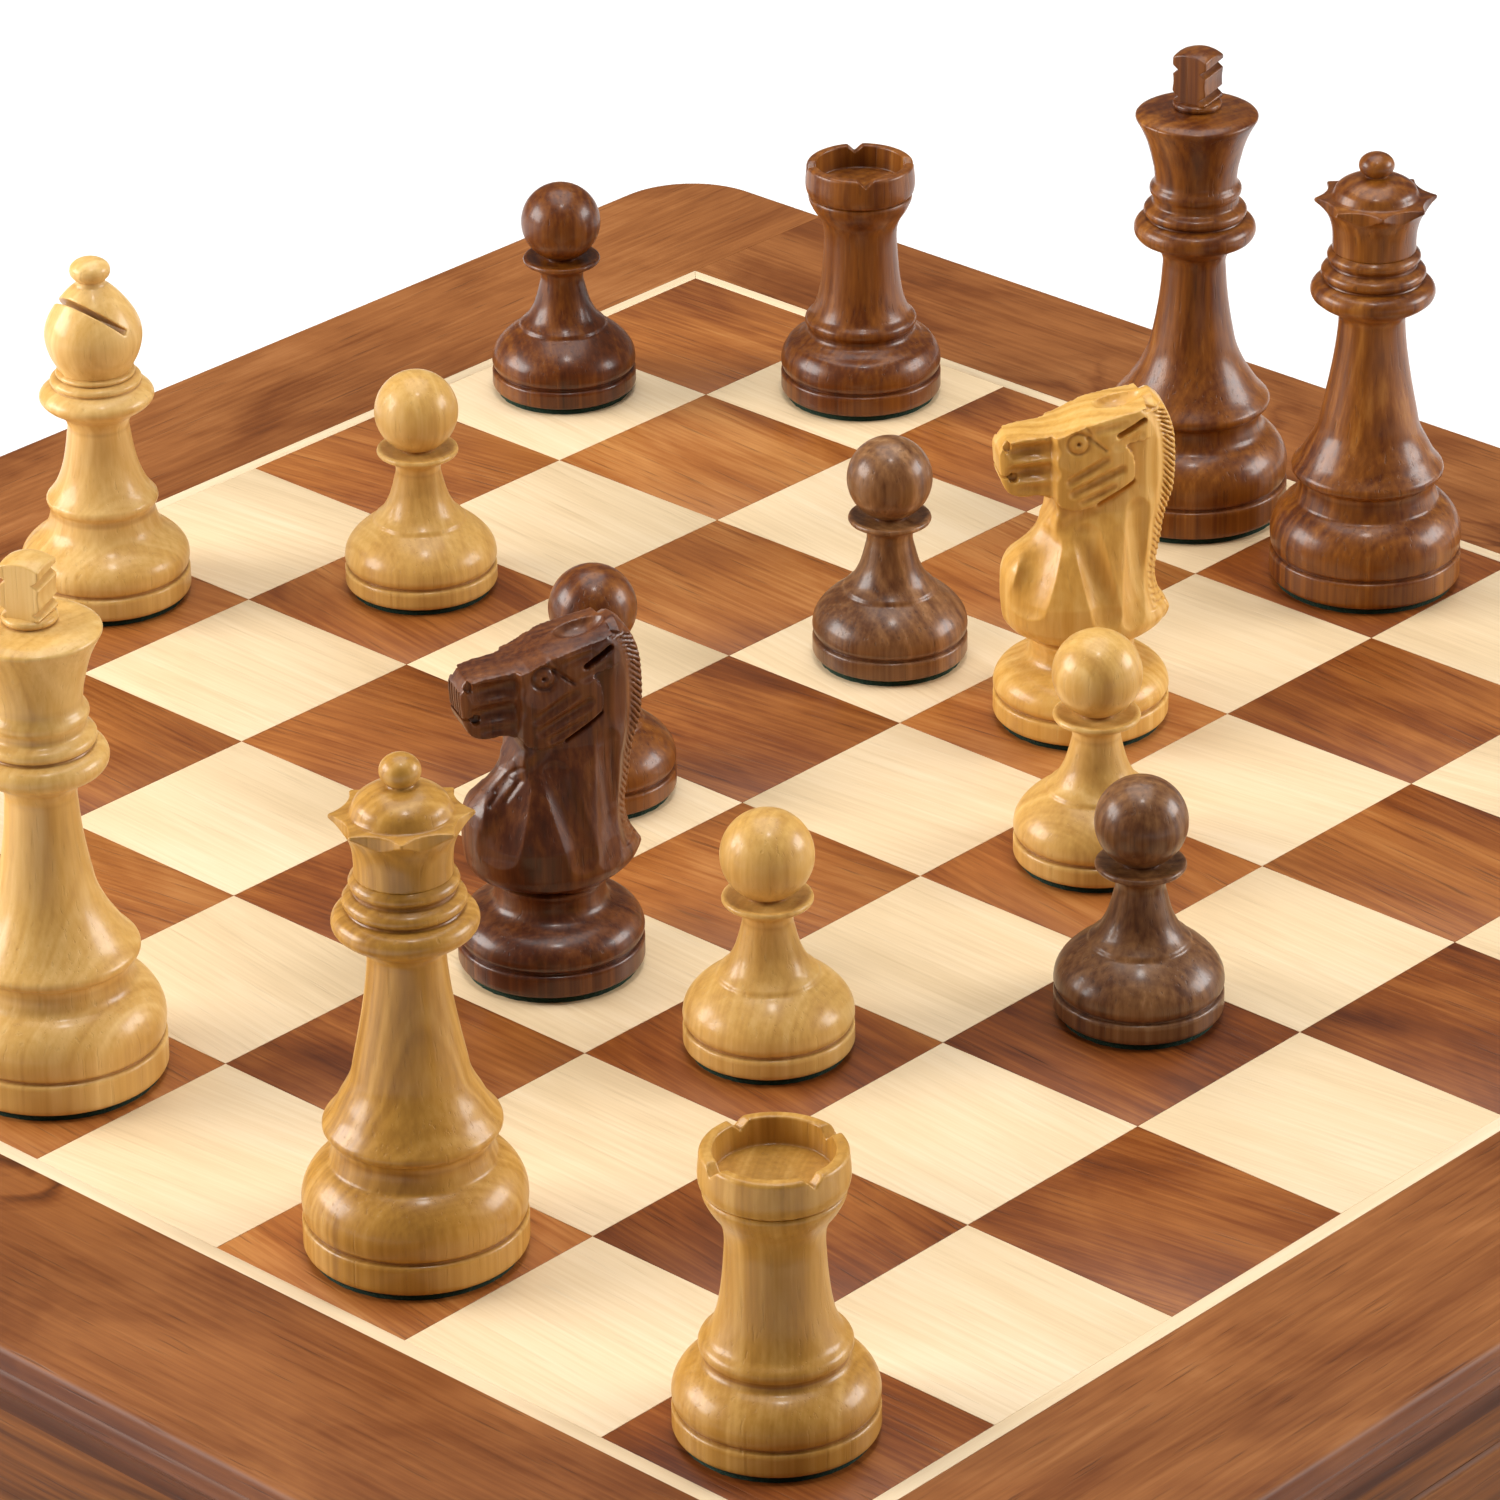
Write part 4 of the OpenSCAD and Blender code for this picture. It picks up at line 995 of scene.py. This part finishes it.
men_look = dict(ring=90, ring_mix=0.35, figure=0.004, streak=0.16, mottle=0.25, fibre=800, coat=0.28,
                coat_rough=0.18, rough=(0.34, 0.46), unevenness=0.12, pores=0.1, tone=0.08,
                specular=0.3)
dark_look = {**men_look, "pores": 0.45, "ring_mix": 0.4, "mottle": 0.5, "tone": 0.12, "streak": 0.3,
             "gain": 1.15}
case = dict(ring=60, ring_mix=0.6, rough=(0.42, 0.55), pores=0.5, specular=0.2)
veneer = dict(cells=(-0.18, 0.045), specular=0.35)
LOOK = {
    "maple": wood("maple_veneer", MAPLE, "Y", ring=40, ring_mix=0.25, streak=0.4, fibre=1300,
                  mottle=0.35, pores=0.2, pore_dark=0.25, rough=(0.34, 0.42), tone=0.08, **veneer),
    "walnut": wood("walnut_veneer", WALNUT, "Y", ring=26, ring_mix=0.4, figure=0.014, streak=0.35,
                   fibre=1100, mottle=0.55, pores=0.6, rough=(0.36, 0.46), tone=0.22, gain=1.1,
                   run=0.03, **veneer),
    "inlay": wood("inlay_maple", INLAY, "MITRE", ring=60, ring_mix=0.3, rough=(0.3, 0.38),
                  pore_dark=0.3),
    "border": wood("border_walnut", BORDER, "X", ring=16, ring_mix=0.35, figure=0.05, streak=0.3,
                   fibre=900, mottle=0.45, pores=0.65, rough=(0.4, 0.5), specular=0.25, swirl=1.6,
                   run=0.035),
    "case_x": wood("case_walnut_x", CASE, "X", **case),
    "case_y": wood("case_walnut_y", CASE, "Y", **case),
    "case_z": wood("case_walnut_z", CASE, "Z", **case),
    "case_ring": wood("case_walnut_ring", CASE, "MITRE", **case),
    # the plywood stands for the plain timber of the hidden parts too
    "plywood": wood("plywood", PLY, "X", ring=60, rough=(0.5, 0.65), pores=0.2),
    "boxwood": wood("boxwood", BOX, **men_look),
    "rosewood": wood("rosewood", ROSE, **dark_look),
    "dusk": wood("rosewood_dusk", DUSK, **dark_look),
    "deep": wood("rosewood_deep", DEEP, **dark_look),
    # painted shade: darker boxwood for the light queen and rook
    "boxwood_shade": wood("boxwood_painted_shade", BOX_SHADED, **men_look),
    "amber": wood("boxwood_amber", AMBER, **men_look),
    "baize": cloth("baize", rgb(5, 18, 12), rgb(16, 42, 30)),
    "brass": metal("brass", rgb(214, 176, 104), rgb(150, 112, 58)),
}


# ---- board and case

def piece(name, mesh, look, body, nodes, seed=0.0, matrix=None):
    obj = new_object(name, mesh, LOOK[look], seed, matrix)
    return dress(obj, body, nodes)


def dress(obj, body, nodes):
    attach(obj, body)
    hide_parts(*nodes)
    return obj


def millimetres(node):
    """A CAD node's lowest and highest corners."""
    low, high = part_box(node)
    return np.array(low) / MM, np.array(high) / MM


CORNER_R = 19.5     # radius of the top's corners
JOINT = 0.1         # the fine gap left at each joint of the border
PANEL_T = 12        # thickness of the case's side panels


def build_board():
    low, high = millimetres("border_strips")
    half = high[0]
    inner = millimetres("inlay_line")[1][0] + JOINT
    profile = slab_profile(low[2], high[2])
    end = corner_strip(profile, half, CORNER_R, inner)
    side = straight_strip(profile, half, inner, 2 * (inner - JOINT))
    spin = [Matrix.Rotation(a * math.pi / 2, 4, "Z") for a in range(4)]
    for name, part, turn, seed in (("border_front", end, 0, 3.0), ("border_back", end, 2, 8.0),
                                   ("border_right", side, 1, 12.0), ("border_left", side, 3, 17.0)):
        piece(name, mesh_of(name, part, sharp=30), "border", "cabinet",
              ["border_strips"], seed, spin[turn])
    low, high = millimetres("under_moulding")
    hole = millimetres("side_panels")[1][0] - PANEL_T
    ring = mitred_ring(ring_profile(low[2], high[2]), half, CORNER_R, hole)
    piece("case_moulding", mesh_of("case_moulding", ring, sharp=30), "case_ring", "cabinet",
          ["under_moulding"], 5.0)


def build_case():
    for name, node, width, look, slot, seed in (
            ("maple_squares", "light_squares", 0.05, "maple", "maple_veneer", 1.0),
            ("walnut_squares", "dark_squares", 0.05, "walnut", "walnut_veneer", 2.0),
            ("inlay_strips", "inlay_line", 0.05, "inlay", "maple_veneer", 4.0),
            ("top_core", "board_core", 0.2, "plywood", "plywood", 6.0),
            ("case_sides", "side_panels", 0.3, "case_y", "case_walnut", 7.0),
            ("case_posts", "corner_posts", 0.4, "case_z", "case_walnut", 9.0),
            ("case_rails", "cross_rails", 0.3, "case_x", "case_walnut", 10.0),
            ("case_floor", "case_bottom", 0.3, "plywood", "plywood", 11.0),
            ("case_divider", "centre_divider", 0.3, "plywood", "plywood", 13.0),
            ("case_runners", "drawer_runners", 0.4, "plywood", "plywood", 14.0)):
        dress(softened(name, node, width, LOOK[look], seed), "cabinet", [node])
    for side, start in (("front", 20.0), ("back", 30.0)):
        for part, width, look, slot, k in (("face", 0.35, "case_x", "case_walnut", 0),
                                           ("box", 0.6, "plywood", "plywood", 1),
                                           ("lining", 0.25, "baize", "baize", 2),
                                           ("slats", 1.2, "plywood", "plywood", 3)):
            node = f"{side}_drawer_{part}"
            obj = softened(node + "_piece", node, width, LOOK[look], start + k, 3)
            dress(obj, f"{side}_drawer", [node])


KNOB = [
    (0, 0), (6.5, 0), (6.5, 1.2), (5.2, 2.0), (3.6, 3.2), (3.0, 5.0), (3.4, 7.0), (5.2, 8.8), (7.2, 10.0),
    (8.0, 11.4), (7.8, 13.0), (6.2, 14.4), (3.4, 15.3), (0, 15.6)]


def build_fittings():
    knob = mesh_of("drawer_knob", lathe(KNOB, 72))
    for side, sign in (("front", -1), ("back", 1)):
        node = f"{side}_drawer_knobs"
        low, high = millimetres(node)
        r = (high[2] - low[2]) / 2
        y = high[1] if sign < 0 else low[1]
        for label, x in (("left", low[0] + r), ("right", high[0] - r)):
            at = Matrix.Translation((x * MM, y * MM, (low[2] + r) * MM))
            turn = Matrix.Rotation(math.pi / 2 * -sign, 4, "X")
            piece(f"{side}_knob_{label}", knob.copy(), "brass", f"{side}_drawer", [node],
                  x / 10 + sign, at @ turn)
    low, high = millimetres("feet")
    r = 11.0
    foot = lathe([(0, 0), (r - 0.25, 0), (r, 0.3), (r, 1.7), (r - 0.2, 2.0), (0, 2.0)], 64, 0.03)
    corners = ((low[0], low[1]), (high[0], low[1]), (high[0], high[1]), (low[0], high[1]))
    for i, (x, y) in enumerate(corners):
        cx, cy = x + math.copysign(r, -x), y + math.copysign(r, -y)
        piece(f"foot_pad_{i + 1}", mesh_of("foot_pad", foot), "baize", "cabinet", ["feet"],
              40.0 + i, Matrix.Translation((cx * MM, cy * MM, 0)))


# ---- the men

def pad_part(r, seed):
    """The cloth pad under a man, a little smaller than the foot above it."""
    edge = [(r - 1.35, 0), (r - 1.2, 0.2), (r - 1.25, 0.8), (r - 1.2, 1.3), (r - 1.4, PAD_T)]
    return lathe([(0, 0), *edge, (0, PAD_T)], 112, 0.05, seed)


# Men whose shape or wood differs from the others of their kind; the light queen and rook take a darker
# copy of boxwood, as painted shade.
OWN_SHAPE = {"dark_rook": "slim_rook", "dark_queen": "low_queen", "light_knight": "light_knight",
             "dark_knight": "dark_knight"}
OWN_LOOK = {"dark_pawn_b": "dusk", "dark_pawn_c": "dusk", "dark_knight": "deep",
            "light_queen": "boxwood_shade", "light_rook": "boxwood_shade", "light_knight": "amber"}
# How far each man is turned about its axis, in degrees; the rest turn by their place in the list.
YAW = {"light_king": 200, "dark_king": 188, "light_bishop": 180, "light_rook": 47, "dark_rook": 20,
       "light_knight": 142, "dark_knight": 153, "light_queen": 0, "dark_queen": 0}
# Radius of each kind's foot, in millimetres.
RADIUS = {"king": 19.8, "queen": 19.2, "bishop": 16.9, "knight": 17.0, "rook": 17.0, "pawn": 15.3}


def men_meshes():
    """A mesh for each form of a man, and one for each size of pad."""
    parts = {
        "pawn": [lathe(PAWN)],
        "rook": [lathe(ROOK_BODY), rook_top()],
        "bishop": [lathe(BISHOP_BODY), bishop_top()],
        "queen": [lathe(QUEEN_BODY), queen_top()],
        "king": [lathe(KING_BODY), king_cross()],
        "slim_rook": [lathe(slim(ROOK_BODY, 0.94, 13)), rook_top(0.94)],
        "low_queen": [lathe(QUEEN_BODY), queen_top(0.86)],
        "light_knight": [lathe(KNIGHT_FOOT), knight_part(False)],
        "dark_knight": [lathe(KNIGHT_FOOT), knight_part(True)],
    }
    meshes = {k: mesh_of(k, *v) for k, v in parts.items()}
    pads = {k: mesh_of(k + "_pad", pad_part(r, i)) for i, (k, r) in enumerate(RADIUS.items())}
    return meshes, pads


def stand_men(meshes, pads):
    """The men on the board, each where its CAD pad is."""
    men = sorted(n for n in NODES if n + "_pad" in NODES and "stored" not in n)
    for k, man in enumerate(men):
        colour, kind = man.split("_")[:2]
        low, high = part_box(man + "_pad")
        at = Matrix.Translation(((low.x + high.x) / 2, (low.y + high.y) / 2, low.z))
        at = at @ Matrix.Rotation(math.radians(YAW.get(man, 37.0 * k)), 4, "Z")
        slot = "boxwood" if colour == "light" else "rosewood"
        form = meshes[OWN_SHAPE.get(man, kind)]
        piece(man + "_wood", form.copy(), OWN_LOOK.get(man, slot), man, [man], 50.0 + 3.7 * k, at)
        piece(man + "_cloth", pads[kind].copy(), "baize", man, [man + "_pad"], 52.0 + k, at)


# Where the drawer's nests lie, in millimetres: the middle of the first and the step to the next,
# the line on which the feet of the pawns and of the pieces stand, and the top of the lining.
NEST_LEFT, NEST_STEP, NEST_FLOOR = -164.5, 47, 16.1
PAWN_ROW, PIECE_ROW = -91, -202
# How a man lies: its profile, and the angle in degrees at which it tips down to the lining.
LIE = {"rook": (ROOK_BODY + ROOK_TOP, 6), "knight": (KNIGHT_FOOT, 10),
       "bishop": (BISHOP_BODY + BISHOP_TOP, 8.4), "pawn": (PAWN, 11.5)}
# Which nests hold which men, counted from the left of the front drawer.
STORED = (
    ("light", "front", 0, {"rook": [7], "knight": [6], "bishop": [5], "pawn": range(5)}),
    ("dark", "back", math.pi, {"rook": [7], "knight": [6], "bishop": [2, 5], "pawn": range(4)}))


def store_men(meshes, pads):
    """The men that lie in the drawers."""
    for colour, drawer, spin, nests in STORED:
        look = "boxwood" if colour == "light" else "rosewood"
        for kind, columns in nests.items():
            points, tilt = LIE[kind]
            t = math.radians(tilt)
            height = max(z * math.sin(t) + r * math.cos(t) for r, z in points)
            form = meshes[f"{colour}_knight" if kind == "knight" else kind]
            y = PAWN_ROW if kind == "pawn" else PIECE_ROW
            for c in columns:
                x, z = NEST_LEFT + NEST_STEP * c, NEST_FLOOR + height
                at = (Matrix.Rotation(spin, 4, "Z")
                      @ Matrix.Translation((x * MM, y * MM, z * MM))
                      @ Matrix.Rotation(-math.pi / 2 - t, 4, "X"))
                label = f"{colour}_stored_{kind}_{c + 1}"
                piece(label, form.copy(), look, f"{drawer}_drawer",
                      [f"{colour}_stored_men"], 120.0 + 5.3 * c + spin, at)
                piece(label + "_cloth", pads[kind].copy(), "baize", f"{drawer}_drawer",
                      [f"{colour}_stored_pads"], 121.0 + c, at)


def build_men():
    meshes, pads = men_meshes()
    stand_men(meshes, pads)
    store_men(meshes, pads)


def build_stage():
    bm = bmesh.new()
    bmesh.ops.create_grid(bm, x_segments=8, y_segments=8, size=6.0)
    mesh = bpy.data.meshes.new("floor")
    bm.to_mesh(mesh)
    bm.free()
    floor = new_object("floor", mesh, floor_material())
    world = bpy.data.worlds.new("world")
    scene.world = world
    world.use_nodes = True
    back = world.node_tree.nodes["Background"]
    back.inputs[0].default_value = (1, 1, 1, 1)
    back.inputs[1].default_value = 0.14
    add_light("key_left", (-1.02, 1.08, 0.66), (0, 0, 0.12), 1.0, 30, (1.0, 0.97, 0.93), size_y=0.7)
    add_light("fill_right", (1.12, -1.02, 0.66), (0, 0, 0.12), 0.8, 20, (1.0, 0.98, 0.96), size_y=0.6)
    add_light("top_soft", (0.3, 0.3, 1.9), (0, 0, 0.1), 1.6, 25)
    add_light("lamp", (-0.26, -0.38, 1.68), (0, 0, 0.1), 0.2, 5, (1.0, 0.98, 0.95), shape="DISK")


add_camera()
build_stage()
build_board()
build_case()
build_fittings()
build_men()
